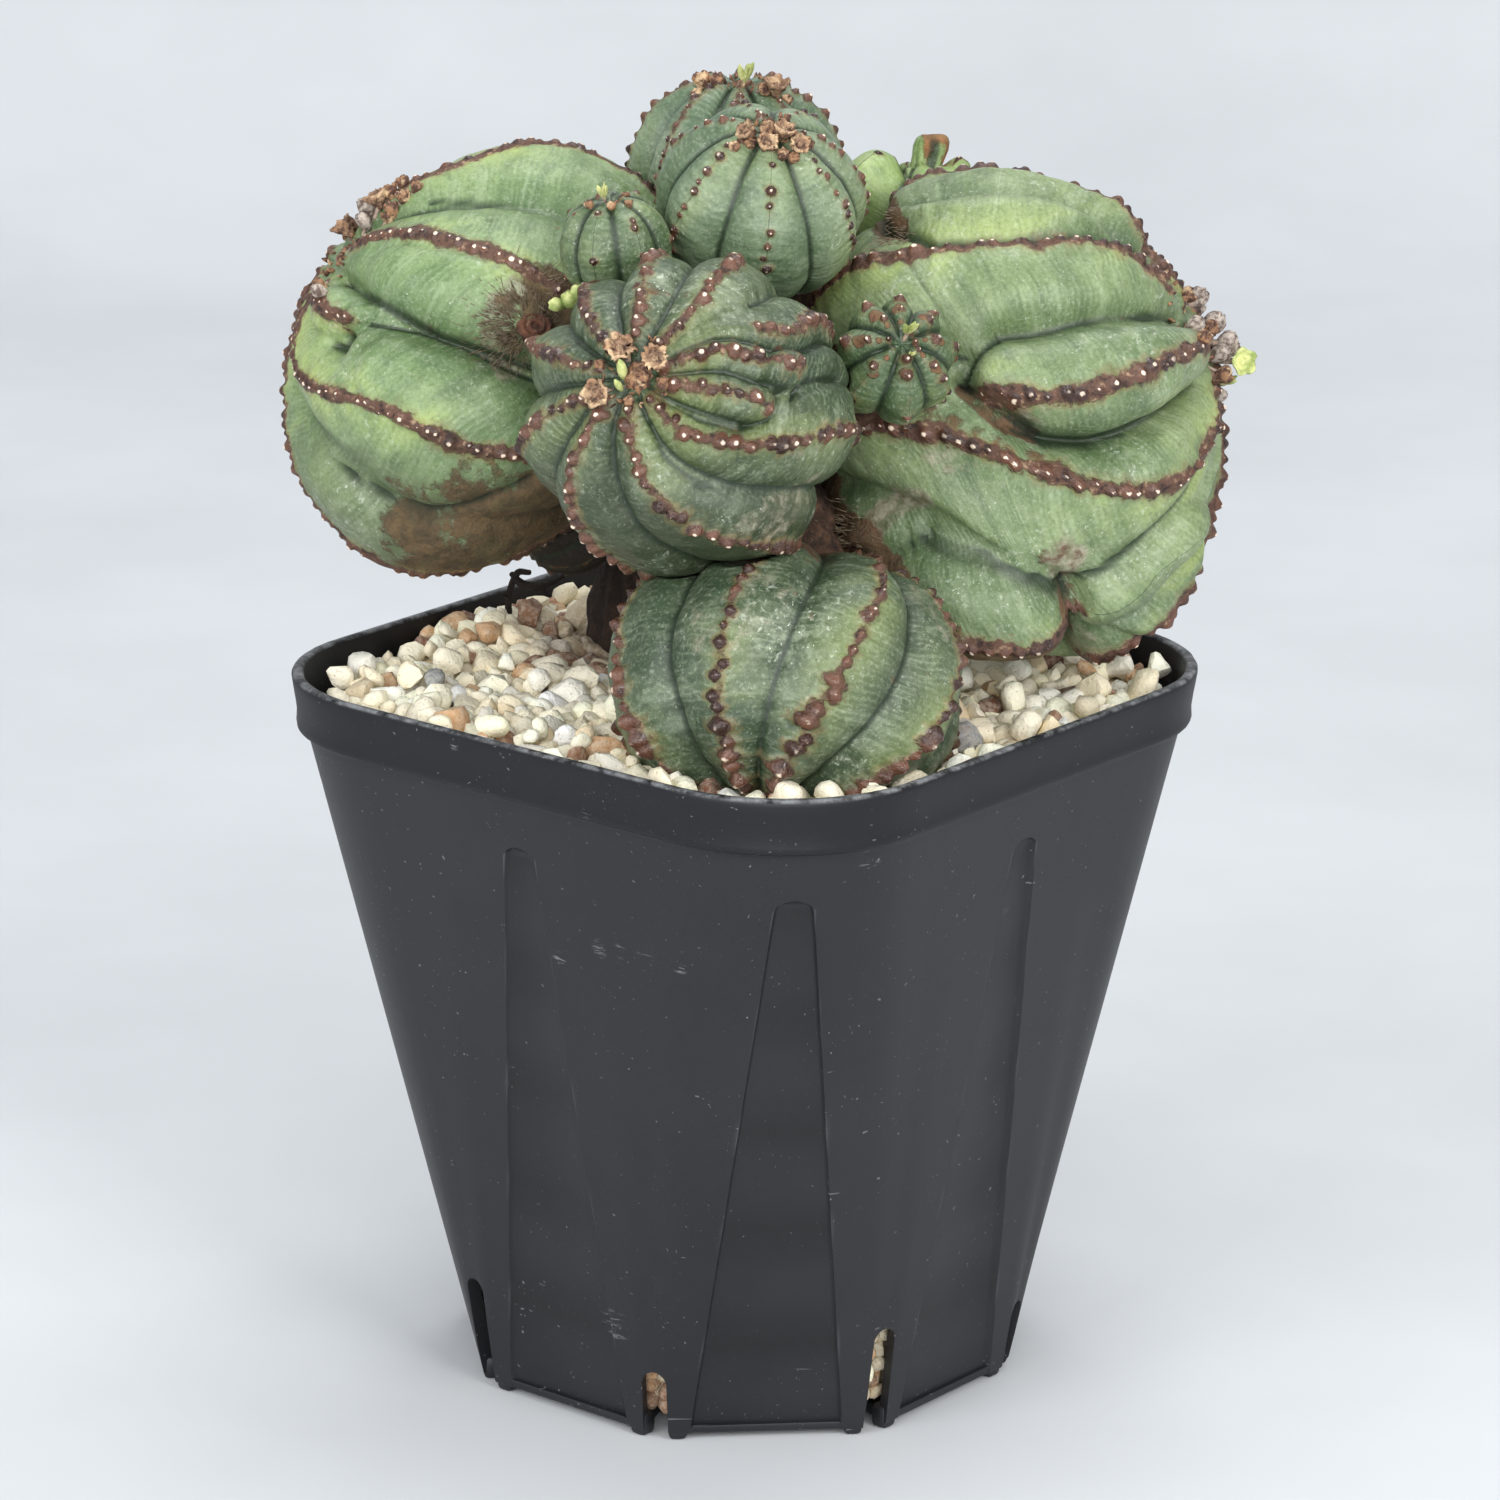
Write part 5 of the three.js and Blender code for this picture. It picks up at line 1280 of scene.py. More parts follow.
CUP_PROFILE = np.array([[0, -1.1], [0.45, -1.1], [0.6, -0.5], [0.85, 0.1], [1.2, 0.6], [1.45, 1.05],
                        [1.6, 1.45], [1.58, 1.68], [1.4, 1.74], [1.2, 1.55], [1.05, 1.1], [0.75, 0.8],
                        [0.5, 0.85], [0.42, 1.2], [0.2, 1.35], [0, 1.3]])
BUD_PROFILE = np.array([[0, -1.4], [0.5, -1.3], [0.7, -0.6], [0.95, 0], [1.0, 0.5], [0.8, 1.0],
                        [0.45, 1.3], [0.2, 1.38], [0, 1.3]])
KNOB_PROFILE = np.array([[0, -1.2], [0.6, -1.1], [0.75, -0.5], [0.95, 0.05], [1.05, 0.5], [0.9, 0.85],
                         [0.6, 0.98], [0.4, 0.8], [0.25, 0.9], [0, 0.95]])
LEAF_PROFILE = np.array([[0, -0.8], [0.3, -0.7], [0.5, 0], [0.62, 0.9], [0.55, 1.8], [0.32, 2.5],
                         [0.1, 2.9], [0, 2.95]])
KINDS = {        # profile, points round, lobes, lobe depth, crumple, freshness, wool
    "cup": (CUP_PROFILE, 30, 5, 0.08, 0.14, 0.0, 0.2),
    "knob": (KNOB_PROFILE, 18, 5, 0.14, 0.08, 0.0, 0.0),
    "wool": (BUD_PROFILE, 18, 5, 0.1, 0.09, 0.0, 1.0),
    "brown": (CUP_PROFILE, 26, 5, 0.16, 0.1, 0.0, 0.1),
    "shoot": (LEAF_PROFILE * [1.15, 1], 12, 5, 0.12, 0.0, 1.0, 0.0),
    "flower": (CUP_PROFILE * [1, 0.7], 30, 5, 0.12, 0.04, 1.0, 0.0),
    "leaves": (LEAF_PROFILE, 10, 1, 0.0, 0.0, 0.85, 0.0),
}
# How strongly the cups' upper rims get painted light.
LIT_RIMS = {"cup": 0.9, "brown": 0.4}


def stand_up(shape, foot, way, twist=0.0):
    """Turns a shape from +Z to a direction and sets it on a foot point."""
    way = np.array(way) / np.linalg.norm(way)
    side = np.cross(way, [0.31, 0.17, 0.93])
    side /= np.linalg.norm(side)
    over = np.cross(way, side)
    c, s = np.cos(twist), np.sin(twist)
    return shape @ np.stack([side * c + over * s, over * c - side * s, way]) + foot


def lathe(profile, around, lobes=0, lobe=0.0, crumple=0.0, rng=None):
    """A profile turned round +Z, pressed into lobes and crumpled towards its upper rim."""
    turn = np.arange(around) * 2 * np.pi / around
    r, z = profile[:, :1], profile[:, 1:]
    high = np.clip((z - z.min()) / (z.max() - z.min()), 0, 1) ** 2
    shape = 1 + lobe * high * np.cos(lobes * turn)
    noise = rng.normal(size=(2, len(profile), around)) if crumple else np.zeros((2, 1, 1))
    r = r * (shape + crumple * high * noise[0])
    z = z + crumple * high * noise[1] + lobe * high * 0.9 * np.cos(lobes * turn)
    rings = np.stack([r * np.cos(turn), r * np.sin(turn), z + 0 * turn], -1)
    rings[0], rings[-1] = rings[0].mean(0), rings[-1].mean(0)
    return rings


def on_head(head, theta, lam, lift):
    """Point above a head's skin and the way outwards there."""
    way = outward(head, theta, lam)
    radius = head_radius(head, np.array([float(theta)]), np.array([float(lam)]))[0]
    return np.array(head["centre"]) + way * (radius + lift), way


def cup_set(head, spots, rng):
    """Cups, knobs, buds and leaves on a head, each with a stalk below it, and three fields for them."""
    skins, fields = [], []

    def keep(skin, fresh, wool, rim=0.0):
        skins.append(skin)
        fields.append(np.column_stack([np.tile([fresh, wool], (len(skin[0]), 1)),
                                       np.zeros(len(skin[0])) + rim]))

    for theta, lam, size, lift, kind in spots:
        profile, around, lobes, lobe, crumple, fresh, wool = KINDS[kind]
        foot, way = on_head(head, theta, lam, lift)
        root, _ = on_head(head, theta * 0.75, lam, -0.9)
        if kind == "leaves":
            for turn in range(6):
                blade = lathe(profile, around) * [1, 0.4, 1] * size * rng.uniform(0.6, 1.05)
                sway = np.array([np.cos(turn * 2.4), np.sin(turn * 2.4), 0.2]) * 0.4
                keep(closed_skin(stand_up(blade, foot + 0.5 * size * sway, way + sway, turn)), fresh, 0.0)
        else:
            shape = lathe(profile, around, lobes, lobe, crumple, rng)
            if kind == "flower":
                way = way + np.array([-0.4, -1.4, 0.5])
            if kind == "shoot":
                way = way + np.array([0, 0, 0.9])
            pale = ends_once(smooth((shape[..., 2] - 1.0) / 0.6)) * LIT_RIMS.get(kind, 0)
            keep(closed_skin(stand_up(shape * size, foot, way + rng.normal(0, 0.2, 3),
                                      rng.uniform(0, 6))), fresh, wool, pale)
        stalk = tube_rings([root, (root + foot) / 2 + rng.normal(0, 0.15, 3), foot],
                           [0.45 * size, 0.38 * size, 0.36 * size], 8, 7)
        keep(closed_skin(stalk), 0.0, 0.6)
    return skins, fields


def scale_set(head, rng, count, reach, size):
    """Small dry scales round a growing tip, leaning outwards."""
    skins = []
    leaf = np.array([[0, -0.5], [0.5, -0.4], [0.62, 0.2], [0.45, 1.0], [0.15, 1.6], [0, 1.7]])
    for i in range(count):
        theta = reach * np.sqrt(rng.uniform(0.05, 1))
        foot, way = on_head(head, theta, i * 137.5, 0.2)
        shape = lathe(leaf, 8) * [1, 0.45, 1] * size * rng.uniform(0.6, 1.2)
        skins.append(closed_skin(stand_up(shape, foot, way + rng.normal(0, 0.45, 3), rng.uniform(0, 6))))
    return skins


def dry_flower():
    """Papery tan cups and woolly grey knobs; the field fresh turns a bud or leaf yellow-green."""
    material, tree, shader = new_finish("dry_flower")
    fine, broad = grain(tree, 700, 4, 0.65), grain(tree, 300, 3, 0.6)
    tone = blend(fade(fine, 0.42, 0.6), paint(74, 48, 38), paint(150, 112, 82))
    tone = blend(fade(broad, 0.54, 0.66, 0, 0.9), tone, paint(206, 176, 138))
    wool = blend(fade(fine, 0.36, 0.64), paint(92, 76, 68), paint(186, 174, 162))
    tone = blend(stored_field(tree, "wool"), tone, wool)
    # Painted light on the cups' upper rims.
    lit_rim = blend(fade(broad, 0.4, 0.6), paint(150, 114, 84), paint(208, 178, 140))
    tone = blend(times(stored_field(tree, "rim"), fade(fine, 0.3, 0.5, 0.4, 0.95)), tone, lit_rim)
    green = blend(fade(broad, 0.35, 0.65), paint(138, 156, 84), paint(208, 212, 144))
    green = blend(fade(fine, 0.62, 0.75, 0, 0.5), green, paint(168, 120, 66))
    join(shader, Base_Color=blend(stored_field(tree, "fresh"), tone, green), Normal=relief(fine, 0.0004))
    shader.inputs["Roughness"].default_value = 0.75
    return material


dried = dry_flower()
for seed, (name, (head_name, heart, spots)) in enumerate(BUNCHES.items(), BUNCH_SEED):
    rng = np.random.default_rng(seed)
    head = HEADS[head_name]
    skins, fields = cup_set(head, spots, rng)
    if heart:
        skins += scale_set(head, rng, 30, 16, heart * 0.26)
        cushion, way = on_head(head, 3, 60, -0.55 * heart)
        knoll = rounded_block((0, 0, 0), (heart, heart, heart), 0, 0.9, 20, 12)
        knoll = knoll * (1 + 0.12 * lumps(knoll, heart * 0.8, seed))[..., None]
        skins.append(closed_skin(stand_up(knoll, cushion, way)))
    fields += [np.zeros((len(skin[0]), 3)) for skin in skins[len(fields):]]
    tuft = build_piece(name + "_tuft", *gather(skins))
    for i, key in enumerate(("fresh", "wool", "rim")):
        give_field(tuft, key, np.concatenate(fields)[:, i])
    tuft.data.materials.append(dried)
    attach(tuft, "root")
    if heart:
        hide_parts(name)

# Four young buds in the angle between the left head and the young one beside it.
BUDS_AT = np.array([-38.6, -24.6, 229])
SIDE_BUDS = [(0, 0, 0, 1.9), (-2.6, -0.8, -0.6, 1.5), (1.2, -1.4, 1.8, 1.6), (2.2, -1.0, -1.4, 1.5)]
skins = []
for i, (*off, size) in enumerate(SIDE_BUDS):
    shape = lathe(BUD_PROFILE, 16, 5, 0.1) * size * 0.95
    skins.append(closed_skin(stand_up(shape, BUDS_AT + off, np.array(off) + [-1, -2, 1.5], i)))
side_buds = build_piece("side_buds", *gather(skins))
give_field(side_buds, "fresh", np.ones(len(side_buds.data.vertices)))
side_buds.data.materials.append(dried)
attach(side_buds, "root")
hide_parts("buds_side")

# ---------------------------------------------------------------- scar disc and felt hairs

# Where a side shoot was cut from the left head a round scar has healed in rings, and brown felt of
# fine hairs grows round it, in the clefts of the right head and on the stem's neck.
DISC_AT, DISC_RADIUS, DISC_SEED, HAIR_SEED = ("head_left", 83, 21), 3.8, 77, 83
HAIR_THICK, NECK_HAIR_THICK, NECK_HAIRS, NECK_RADIUS, NECK_LIMB = 0.085, 0.16, 400, 12.2, 2
FELT = [         # head, theta, lambda, reach in degrees, hairs, length, lift, where they point from
    ("head_left", 79, 18, (10, 12), 900, 2.3, 0.0, (83, 21)),
    ("head_left", 80, 33, (5, 6), 120, 2.6, 0.2, (76, 30)),
    ("head_right", 136, 18, (11, 12), 420, 3.4, 0.1, (100, 30)),
    ("head_right", 121, 36, (5, 10), 220, 2.6, 0.1, (100, 40)),
    ("head_right", 88, -64, (5, 9), 150, 2.4, 0.1, (70, -60)),
]
disc_profile = [[0, -1.5], [DISC_RADIUS * 0.98, -1.5]]
for ring in np.linspace(1, 0.1, 19):
    swell = 0.55 * np.cos(ring * 17) * 0.4 + 0.5 * (1 - ring ** 2) + 0.35
    disc_profile.append([DISC_RADIUS * ring, swell - 0.5 * (ring > 0.97)])
disc_profile.append([0, disc_profile[-1][1]])
disc_foot, disc_way = on_head(HEADS[DISC_AT[0]], *DISC_AT[1:], 0.1)
disc_shape = lathe(np.array(disc_profile), 40)
disc_shape = disc_shape * (1 + 0.05 * lumps(disc_shape, 3, DISC_SEED))[..., None] * [1.0, 0.86, 1]
scar_disc = build_piece("scar_disc", *closed_skin(stand_up(disc_shape, disc_foot, disc_way)))
give_field(scar_disc, "furrow", np.zeros(len(scar_disc.data.vertices)))
scar_disc.data.materials.append(bark("scar_cork", paint(120, 76, 54), paint(44, 24, 17)))
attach(scar_disc, "root")


def hairs(roots, ways, lengths, thick, rng):
    """Bent tapering hairs: a three-cornered ring at the root, one half way and a point.

    Rows are hairs; every hair has seven points, three quads and four triangles."""
    count = len(roots)
    side = unit(np.cross(ways, rng.normal(size=(count, 3))))
    over = np.cross(ways, side)
    turn = np.arange(3) * 2 * np.pi / 3
    ring = side[:, None] * np.cos(turn)[:, None] + over[:, None] * np.sin(turn)[:, None]
    bend = rng.normal(0, 0.3, (count, 3)) * lengths[:, None]
    middle = roots + ways * lengths[:, None] * 0.55 + bend * 0.3
    point = roots + ways * lengths[:, None] + bend
    points = np.concatenate([roots[:, None] + ring * thick, middle[:, None] + ring * thick * 0.7,
                             point[:, None]], 1)
    quads = np.array([[0, 1, 4, 3], [1, 2, 5, 4], [2, 0, 3, 5]])
    tris = np.array([[0, 2, 1], [3, 4, 6], [4, 5, 6], [5, 3, 6]])
    start = np.arange(count)[:, None, None] * 7
    return points.reshape(-1, 3), (quads + start).reshape(-1, 4), (tris + start).reshape(-1, 3)


rng = np.random.default_rng(HAIR_SEED)
felt = []
for name, theta, lam, reach, count, length, lift, origin in FELT:
    head = HEADS[name]
    t = theta + reach[0] * rng.normal(0, 0.5, count)
    l = lam + reach[1] * rng.normal(0, 0.5, count)
    way = outward(head, t, l)
    roots = np.array(head["centre"]) + way * (head_radius(head, t, l) + lift)[:, None]
    source, _ = on_head(head, *origin, 0)
    along = roots - source
    along = unit(along - way * (along * way).sum(1)[:, None])
    lean = unit(along + 0.25 * way + rng.normal(0, 0.25, (count, 3)))
    felt.append(hairs(roots, lean, length * rng.uniform(0.6, 1.2, count), HAIR_THICK, rng))
# The neck: hairs that hang along the limb towards the right head.
neck, neck_way, _ = smooth_path(LIMBS[NECK_LIMB][0], NECK_HAIRS)
around = rng.uniform(0, 2 * np.pi, NECK_HAIRS)
across = np.stack([np.cos(around), np.sin(around) * 0.6, np.sin(around)], -1)
roots = neck + across * NECK_RADIUS
lean = unit(neck_way * 0.8 + across * 0.2 + rng.normal(0, 0.2, (NECK_HAIRS, 3)))
felt.append(hairs(roots, lean, rng.uniform(3, 6, NECK_HAIRS), NECK_HAIR_THICK, rng))
felt_hairs = build_piece("felt_hairs", *gather(felt))
give_field(felt_hairs, "furrow", rng.uniform(0, 1, len(felt_hairs.data.vertices)))
felt_hairs.data.materials.append(bark("felt_brown", paint(172, 156, 130), paint(104, 86, 66)))
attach(felt_hairs, "root")

# ---------------------------------------------------------------- gravel

# Washed pumice gravel, cream with some brown, orange and grey stones, four to seven millimetres,
# poured round the stem: a bed that fills the pot and loose rounded stones lying on it.
STONE_STEP, STONE_SEED, STONE_PLANES, BED_SEED = 4.5, 11, 9, 5
SOIL_LEVEL, LOWEST_STONE = 141.2, 126
POUR_HALF, MOUTH_HALF = 71, 72.2        # half width of the poured rows, and of the mouth inside
STEM_AT, STEM_REACH = np.array([-9.0, 44.0]), 16.5
SHADOW_PAINT_AT, SHADOW_PAINT_WIDTH = (-24, 34), 14     # stones in the left head's shade get painted shade
STONE_KINDS = [          # share of the stones, card colour
    (0.42, (254, 246, 222)), (0.27, (250, 238, 208)), (0.18, (255, 251, 238)), (0.06, (236, 216, 180)),
    (0.03, (200, 158, 116)), (0.02, (150, 110, 84)), (0.01, (116, 76, 56)), (0.01, (150, 152, 154)),
]
PATCH_KINDS, SLIT_KINDS = [4, 5, 6, 5, 1], [3, 4, 5, 1, 5]
BROWN_PATCHES = [(-35, 42, 13), (-30, 24, 9), (-62, 40, 7), (74, 12, 10)]
HEAPS = [(2, -62, 15, 3.2), (-60, 44, 18, 3.6), (-5, -70, 8, 1.0), (70, 20, 18, 2.0), (0, 66, 24, 2.0),
         (-80, 8, 20, 2.0), (-40, -20, 30, 1.4), (-48, 44, 22, 2.6)]


def soil_height(x, y):
    """Level of the gravel: flat, with broad heaps."""
    level = SOIL_LEVEL + 0 * x
    for hx, hy, width, rise in HEAPS:
        level = level + rise * bell(np.hypot(x - hx, y - hy), width)
    return level


def pebble_form():
    """An icosahedron with each face split in four, on the unit sphere: 80 faces."""
    g = (1 + 5 ** 0.5) / 2
    corners = np.array([(-1, g, 0), (1, g, 0), (-1, -g, 0), (1, -g, 0), (0, -1, g), (0, 1, g),
                        (0, -1, -g), (0, 1, -g), (g, 0, -1), (g, 0, 1), (-g, 0, -1), (-g, 0, 1)], float)
    faces = np.array([(0, 11, 5), (0, 5, 1), (0, 1, 7), (0, 7, 10), (0, 10, 11), (1, 5, 9), (5, 11, 4),
                      (11, 10, 2), (10, 7, 6), (7, 1, 8), (3, 9, 4), (3, 4, 2), (3, 2, 6), (3, 6, 8),
                      (3, 8, 9), (4, 9, 5), (2, 4, 11), (6, 2, 10), (8, 6, 7), (9, 8, 1)])
    edges = np.sort(faces[:, [0, 1, 1, 2, 2, 0]].reshape(-1, 2), 1)
    pairs, which = np.unique(edges, axis=0, return_inverse=True)
    which = which.reshape(-1, 3) + len(corners)
    points = unit(np.concatenate([corners, corners[pairs].mean(1)]))
    a, b, c = faces.T
    ab, bc, ca = which.T
    split = np.stack([[a, ab, ca], [ab, b, bc], [ca, bc, c], [ab, bc, ca]])
    return points, split.transpose(0, 2, 1).reshape(-1, 3)


def pebbles(centres, sizes, rng):
    """Worn stones: each a sphere cut by random planes, stretched along random axes and turned."""
    form, faces = pebble_form()
    count = len(centres)
    points = np.repeat(form[None], count, 0)
    for _ in range(STONE_PLANES):
        plane = unit(rng.normal(size=(count, 3)))
        reach = rng.uniform(0.5, 0.84, count)[:, None]
        over = np.maximum(np.einsum("nij,nj->ni", points, plane) - reach, 0)
        points -= over[..., None] * plane[:, None]
    stretch = np.stack([rng.uniform(1.0, 1.3, count), rng.uniform(0.85, 1.12, count),
                        rng.uniform(0.74, 0.95, count)], -1)
    points *= stretch[:, None] * sizes[:, None, None] * 1.22
    turn = np.linalg.qr(rng.normal(size=(count, 3, 3)))[0]
    turn *= np.sign(np.linalg.det(turn))[:, None, None]
    points = np.einsum("nij,nkj->nik", points, turn) + centres[:, None]
    all_faces = faces[None] + (np.arange(count) * len(form))[:, None, None]
    return points.reshape(-1, 3), all_faces.reshape(-1, 3)


def mouth_reach(x, y, half):
    """Distance from a point to the rounded square's edge, positive inside."""
    u, v = np.abs(x + y) / np.sqrt(2), np.abs(x - y) / np.sqrt(2)
    corner = RIM_CORNER * half / RIM_HALF
    cu, cv = np.maximum(u - (half - corner), 0), np.maximum(v - (half - corner), 0)
    return np.minimum(corner - np.hypot(cu, cv), np.minimum(half - u, half - v))


rng = np.random.default_rng(STONE_SEED)
steps = np.arange(-26, 27)
gx, gy = np.meshgrid(steps * STONE_STEP, steps * STONE_STEP * 0.87)
gx = gx + STONE_STEP / 2 * (steps[:, None] % 2)
sx, sy = (v.ravel() + rng.normal(0, 0.8, v.size) for v in (gx, gy))
kept = mouth_reach(sx, sy, POUR_HALF) > 2.2
sx, sy = sx[kept], sy[kept]
size = np.clip(rng.gamma(14, 0.182, len(sx)), 1.6, 4.3)
flat = np.stack([sx, sy], -1)
for _ in range(40):
    away = flat[:, None] - flat[None]
    distance = np.linalg.norm(away, axis=-1) + np.eye(len(flat)) * 99
    wanted = 0.86 * (size[:, None] + size[None])
    overlap = np.maximum(wanted - distance, 0) / np.maximum(distance, 0.1)
    flat = flat + 0.4 * (away * overlap[..., None]).sum(1)
    out = np.linalg.norm(flat - STEM_AT, axis=1)
    flat += (flat - STEM_AT) * (np.maximum(STEM_REACH + size - out, 0) / out)[:, None]
    short = np.maximum(size * 1.05 - mouth_reach(*flat.T, MOUTH_HALF), 0)
    flat -= flat * (short / np.linalg.norm(flat, axis=1))[:, None]
level = soil_height(*flat.T) - size * rng.uniform(0.55, 1.15, len(size))
loose = rng.random(len(flat)) < 0.16
level = level + loose * size * 1.3
near_wall = mouth_reach(*flat.T, MOUTH_HALF) < 9
level = np.where(near_wall & (flat[:, 1] > -50), np.minimum(level, RIM_TOP + 0.6 - size), level)
centres = np.column_stack([flat, level])
for name in ("head_front", "head_right", "head_left"):
    head, table = next(g for g in grown if g[0] is HEADS[name])
    middle = np.array(head["centre"])
    for _ in range(40):
        deep = inside(head, table, centres, size * 0.9)
        step = centres - middle
        step[:, 2] = np.minimum(step[:, 2] * 0.5, 0)
        centres[deep] += 0.4 * unit(step)[deep]
edge_on = (mouth_reach(*centres.T[:2], MOUTH_HALF) < 8) & (centres[:, 1] > -50)
centres[:, 2] = np.where(edge_on, np.minimum(centres[:, 2], RIM_TOP - 0.5 - size), centres[:, 2])
clear = (mouth_reach(*centres.T[:2], MOUTH_HALF) > size * 0.8) & (centres[:, 2] > LOWEST_STONE)
centres, size = centres[clear], size[clear]

# Stones that show in the slits, stacked against the inside of the wall.
slit_centres, slit_sizes = [], []
for k in range(8):
    facing = k * np.pi / 4 - np.pi / 2 + np.pi / 8
    for z in np.arange(5.8, 33, 3.3):
        for across in (-3.6, 0, 3.6):
            ball = rng.uniform(1.7, 2.2)
            wall = pot_outline(z, BODY_TOP_HALF, WALL + PANEL_DEPTH, 0)[k * OUTLINE_STEP + STRIP_MIDDLE]
            back = ball * 1.35 + 0.5 + 0.45 * abs(across) + rng.uniform(0, 0.6)
            slit_centres.append([wall[0] - back * np.cos(facing) - across * np.sin(facing),
                                 wall[1] - back * np.sin(facing) + across * np.cos(facing),
                                 z + rng.uniform(-0.5, 0.5)])
            slit_sizes.append(ball)
centres = np.concatenate([centres, slit_centres])
size = np.concatenate([size, slit_sizes])
stones, stone_faces = pebbles(centres, size, rng)

tones = np.array([colour for _, colour in STONE_KINDS], float)
pick = rng.choice(len(tones), len(centres), p=[share for share, _ in STONE_KINDS])
for px, py, width in BROWN_PATCHES:
    near = bell(np.hypot(centres[:, 0] - px, centres[:, 1] - py), width)
    pick = np.where(rng.random(len(pick)) < near * 0.75, rng.choice(PATCH_KINDS, len(pick)), pick)
pick[-len(slit_sizes):] = rng.choice(SLIT_KINDS, len(slit_sizes))
shade = tones[pick] * rng.normal(1, 0.045, (len(pick), 1))
# Painted shade on the stones in the shadow of the left head.
painted_shadow = bell(np.hypot(centres[:, 0] - SHADOW_PAINT_AT[0], centres[:, 1] - SHADOW_PAINT_AT[1]), SHADOW_PAINT_WIDTH)
shade = shade * (1 - 0.62 * painted_shadow[:, None] * [0.9, 1.0, 1.12])
stone_colour = np.array([paint(*np.clip(c, 0, 255)) for c in shade])


def bed_rings():
    """The bed: up the inside of the wall from the pot's floor, then inwards over the lumpy top."""
    inner = WALL + PANEL_DEPTH
    rings = []
    for z, inset in ((4.0, inner + 8), (4.0, inner + 5), (10, inner + 5), (30, inner + 5),
                     (38, inner + 0.8), (80, inner + 0.6), (120, inner + 0.6), (133, inner + 0.6)):
        rings.append(pot_outline(z, BODY_TOP_HALF, inset, 0))
    edge = rings[-1]
    for share in np.linspace(1, 0, 60)[1:]:
        ring = edge * [share, share, 0]
        top = soil_height(ring[:, 0], ring[:, 1]) - 3.6 - 5 * (share > 0.975)
        ring[:, 2] = top + 0.7 * lumps(ring, 4.5, BED_SEED, 20)
        rings.append(ring)
    rings.insert(0, rings[0] * [0, 0, 1])
    rings[-1] = rings[-1] * [0, 0, 1]
    return np.stack(rings)


bed = closed_skin(bed_rings())
quads, tris = bed[1], np.concatenate([bed[2], stone_faces + len(bed[0])])
gravel = build_piece("gravel_bed", np.concatenate([bed[0], stones]), quads, tris)
colours = np.concatenate([np.tile(paint(208, 190, 158), (len(bed[0]), 1)),
                          np.repeat(stone_colour, len(stones) // len(centres), axis=0)])
gravel.data.set_sharp_from_angle(angle=np.radians(50))
layer = gravel.data.attributes.new("stone", "FLOAT_COLOR", "POINT")
layer.data.foreach_set("color", colours.astype(np.float32).ravel())


def stone_finish():
    """Pumice: its own colour with pores, paler dust and a few rusty stains."""
    material, tree, shader = new_finish("stone")
    own = add(tree, "Attribute", attribute_name="stone").outputs["Color"]
    fine, pores = grain(tree, 900, 4, 0.65), grain(tree, 1500, 2, 0.5)
    tone = blend(fade(fine, 0.35, 0.7, 0.0, 0.35), own, paint(238, 230, 212))
    tone = blend(fade(pores, 0.36, 0.28, 0, 0.45), tone, paint(112, 88, 62))
    tone = blend(fade(grain(tree, 170, 3, 0.6), 0.6, 0.75, 0, 0.25), tone, paint(184, 142, 96))
    low = relief(grain(tree, 420, 4, 0.65), 0.0006)
    join(shader, Base_Color=tone, Normal=relief(pores, 0.0002, low))
    shader.inputs["Roughness"].default_value = 0.92
    return material


gravel.data.materials.append(stone_finish())
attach(gravel, "root")
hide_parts("soil")

# ---------------------------------------------------------------- dead twig

# A dry twig from another plant, stuck in the gravel at the back left and bent over at its top.
TWIG_SEED = 90
TWIG = [
    ([[-44, 50, 136], [-44.6, 49.4, 143], [-44.6, 49, 148.6], [-43, 47.4, 153.6], [-40.5, 46.6, 153.8]],
     [0.85, 0.7, 0.65, 0.75, 0.55]),
    ([[-44.2, 48.4, 153.2], [-42.4, 47, 151.6], [-39.6, 46, 151], [-36.4, 45.4, 151.8],
      [-33.6, 45, 153.4]], [0.6, 0.8, 0.9, 0.7, 0.5]),
    ([[-38, 46, 151.8], [-37.4, 45.6, 150], [-36, 45.4, 149]], [0.5, 0.45, 0.3]),
    ([[-44.5, 49, 147], [-46, 48.4, 149]], [0.5, 0.25]),
]
twig_skins = []
for i, (knots, radii) in enumerate(TWIG):
    rings = tube_rings(knots, radii, 12, 26)
    rings = rings + 0.16 * lumps(rings, 1.8, TWIG_SEED + i)[..., None] * [1, 1, 0.5]
    rings[0], rings[-1] = rings[0].mean(0), rings[-1].mean(0)
    twig_skins.append(closed_skin(rings))
twig = build_piece("dead_twig", *gather(twig_skins))
give_field(twig, "furrow", np.zeros(len(twig.data.vertices)))
twig.data.materials.append(bark("twig_bark", paint(70, 50, 38), paint(26, 18, 14)))
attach(twig, "root")
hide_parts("twig")

# ---------------------------------------------------------------- floor and light

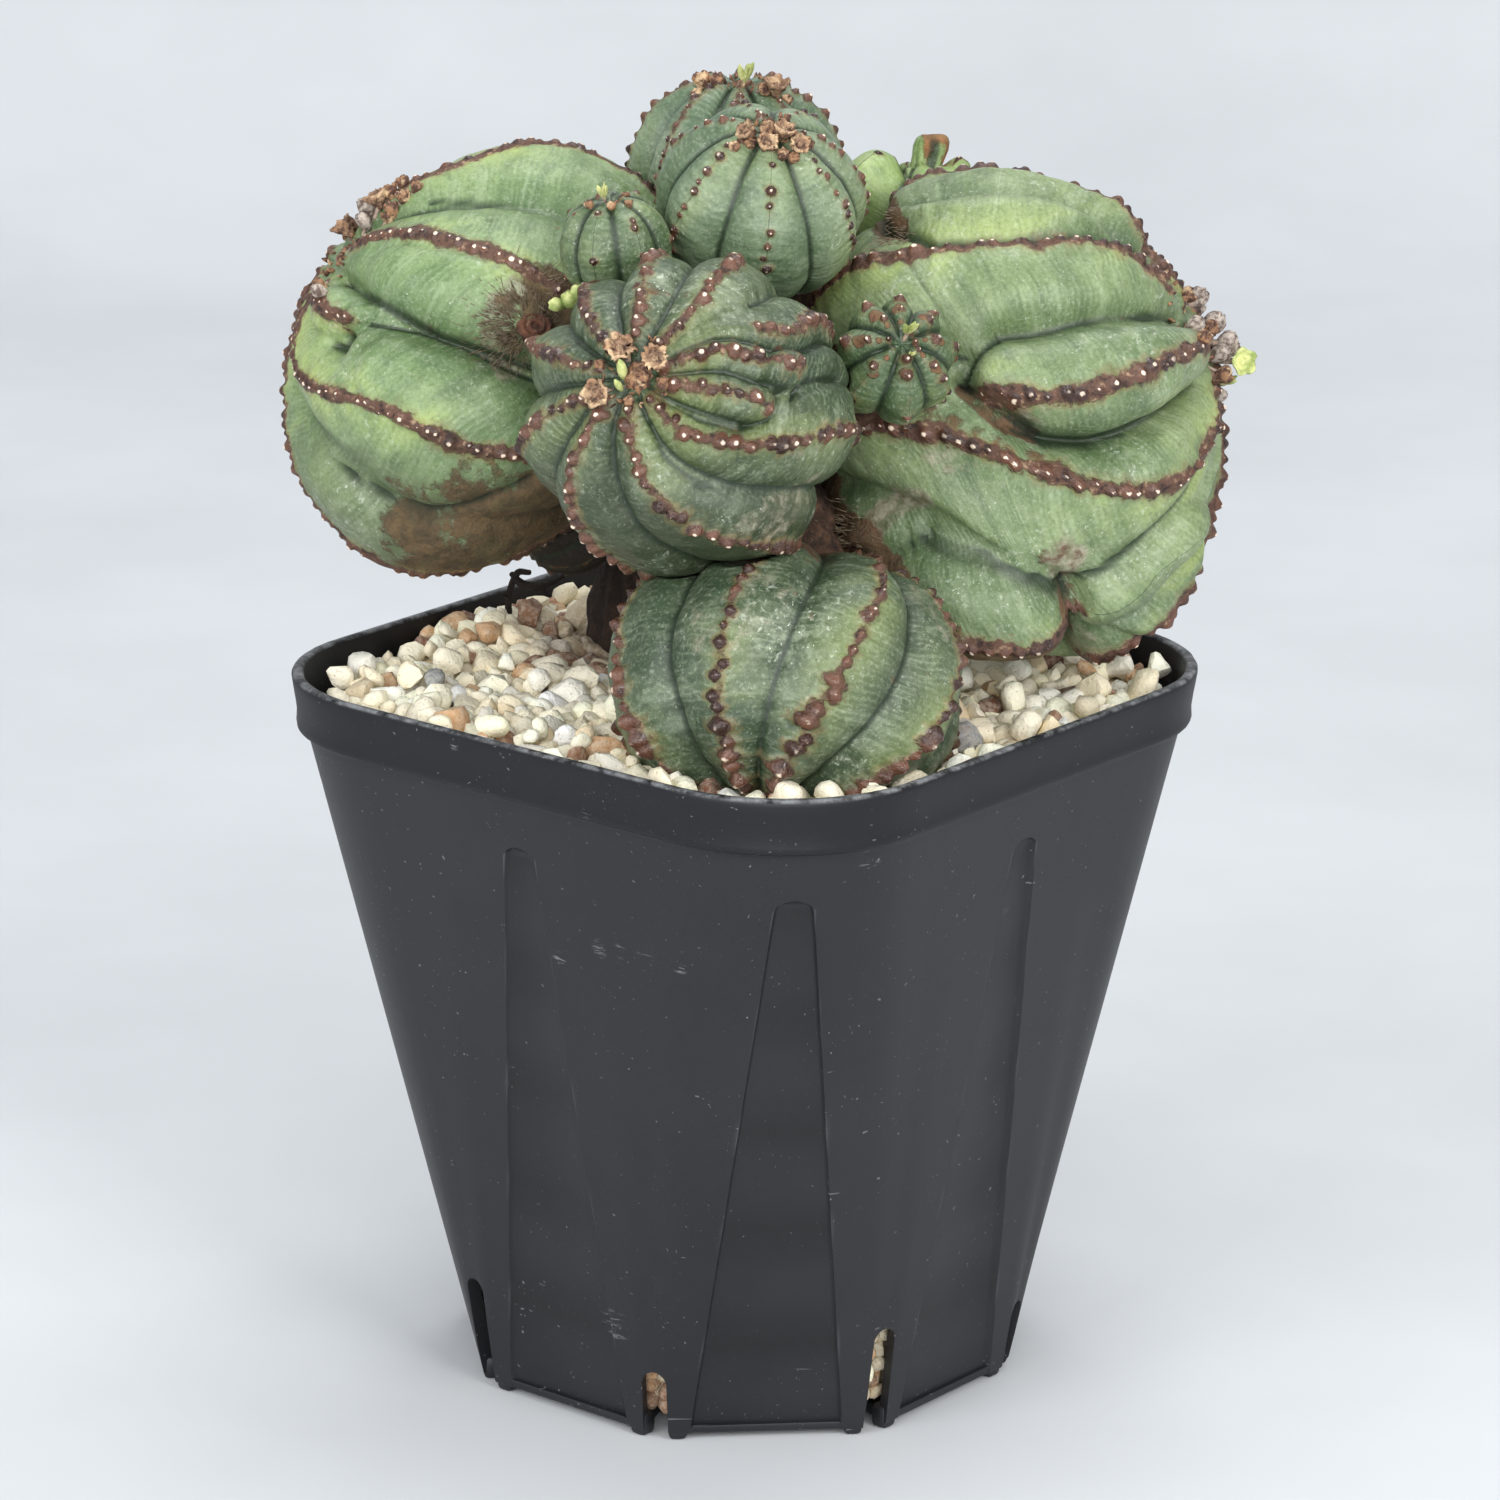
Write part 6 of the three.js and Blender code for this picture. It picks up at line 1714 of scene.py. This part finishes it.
# A plain pale studio: one sheet that runs from the floor up the back in a wide curve.
SWEEP_FOOT, SWEEP_RADIUS, SHEET_REACH = 0.9, 0.5, 3.0        # metres
run_up = np.linspace(0, np.pi / 2, 24)
profile = np.concatenate([[[-SHEET_REACH, 0.0]],
                          np.stack([SWEEP_FOOT + SWEEP_RADIUS * np.sin(run_up),
                                    SWEEP_RADIUS * (1 - np.cos(run_up))], -1),
                          [[SWEEP_FOOT + SWEEP_RADIUS, SHEET_REACH]]])
sheet_x = np.array([-SHEET_REACH, SHEET_REACH])
sheet_points = np.array([[x, y, z] for y, z in profile for x in sheet_x]) / MM
n = np.arange(len(profile) - 1)[:, None] * 2
backdrop = build_piece("backdrop", sheet_points, (n + [0, 1, 3, 2]))
paper, paper_tree, paper_shader = new_finish("backdrop_paper")
cloud = fade(grain(paper_tree, 3.5, 4, 0.6), 0.3, 0.7)
join(paper_shader, Base_Color=blend(cloud, paint(193, 196, 199), paint(203, 206, 209)))
paper_shader.inputs["Roughness"].default_value = 0.9
backdrop.data.materials.append(paper)


def soft_light(name, place_at, aim, size, power, tint):
    """A large square lamp aimed at a point."""
    lamp = bpy.data.lights.new(name, "AREA")
    lamp.shape, lamp.size, lamp.energy, lamp.color = "SQUARE", size, power, tint
    back = -unit(np.array(aim, float) - np.array(place_at, float))
    across = unit(np.cross([0, 0, 1], back))
    stand(put(name, lamp), across, np.cross(back, across), back, place_at)


MIDDLE = (0, 0, 0.14)
LAMPS = [        # name, place, size, watts, tint
    ("key_light", (0.9, -1.35, 1.0), 0.9, 19, (1, 0.99, 0.98)),
    ("fill_light", (-1.3, -1.1, 0.95), 1.0, 18, (0.98, 0.99, 1)),
    ("front_light", (-0.25, -1.9, 0.65), 1.2, 21, (1, 1, 1)),
    ("back_light", (0.2, 0.45, 1.7), 1.0, 14, (0.98, 0.99, 1)),
]
for name, place_at, size, power, tint in LAMPS:
    soft_light(name, place_at, MIDDLE, size, power, tint)
world = bpy.data.worlds.new("studio")
world.use_nodes = True
sky = next(n for n in world.node_tree.nodes if n.type == "BACKGROUND")
sky.inputs["Color"].default_value = paint(226, 229, 232)
sky.inputs["Strength"].default_value = 0.68
bpy.context.scene.world = world
bpy.context.scene.view_settings.view_transform = "Standard"
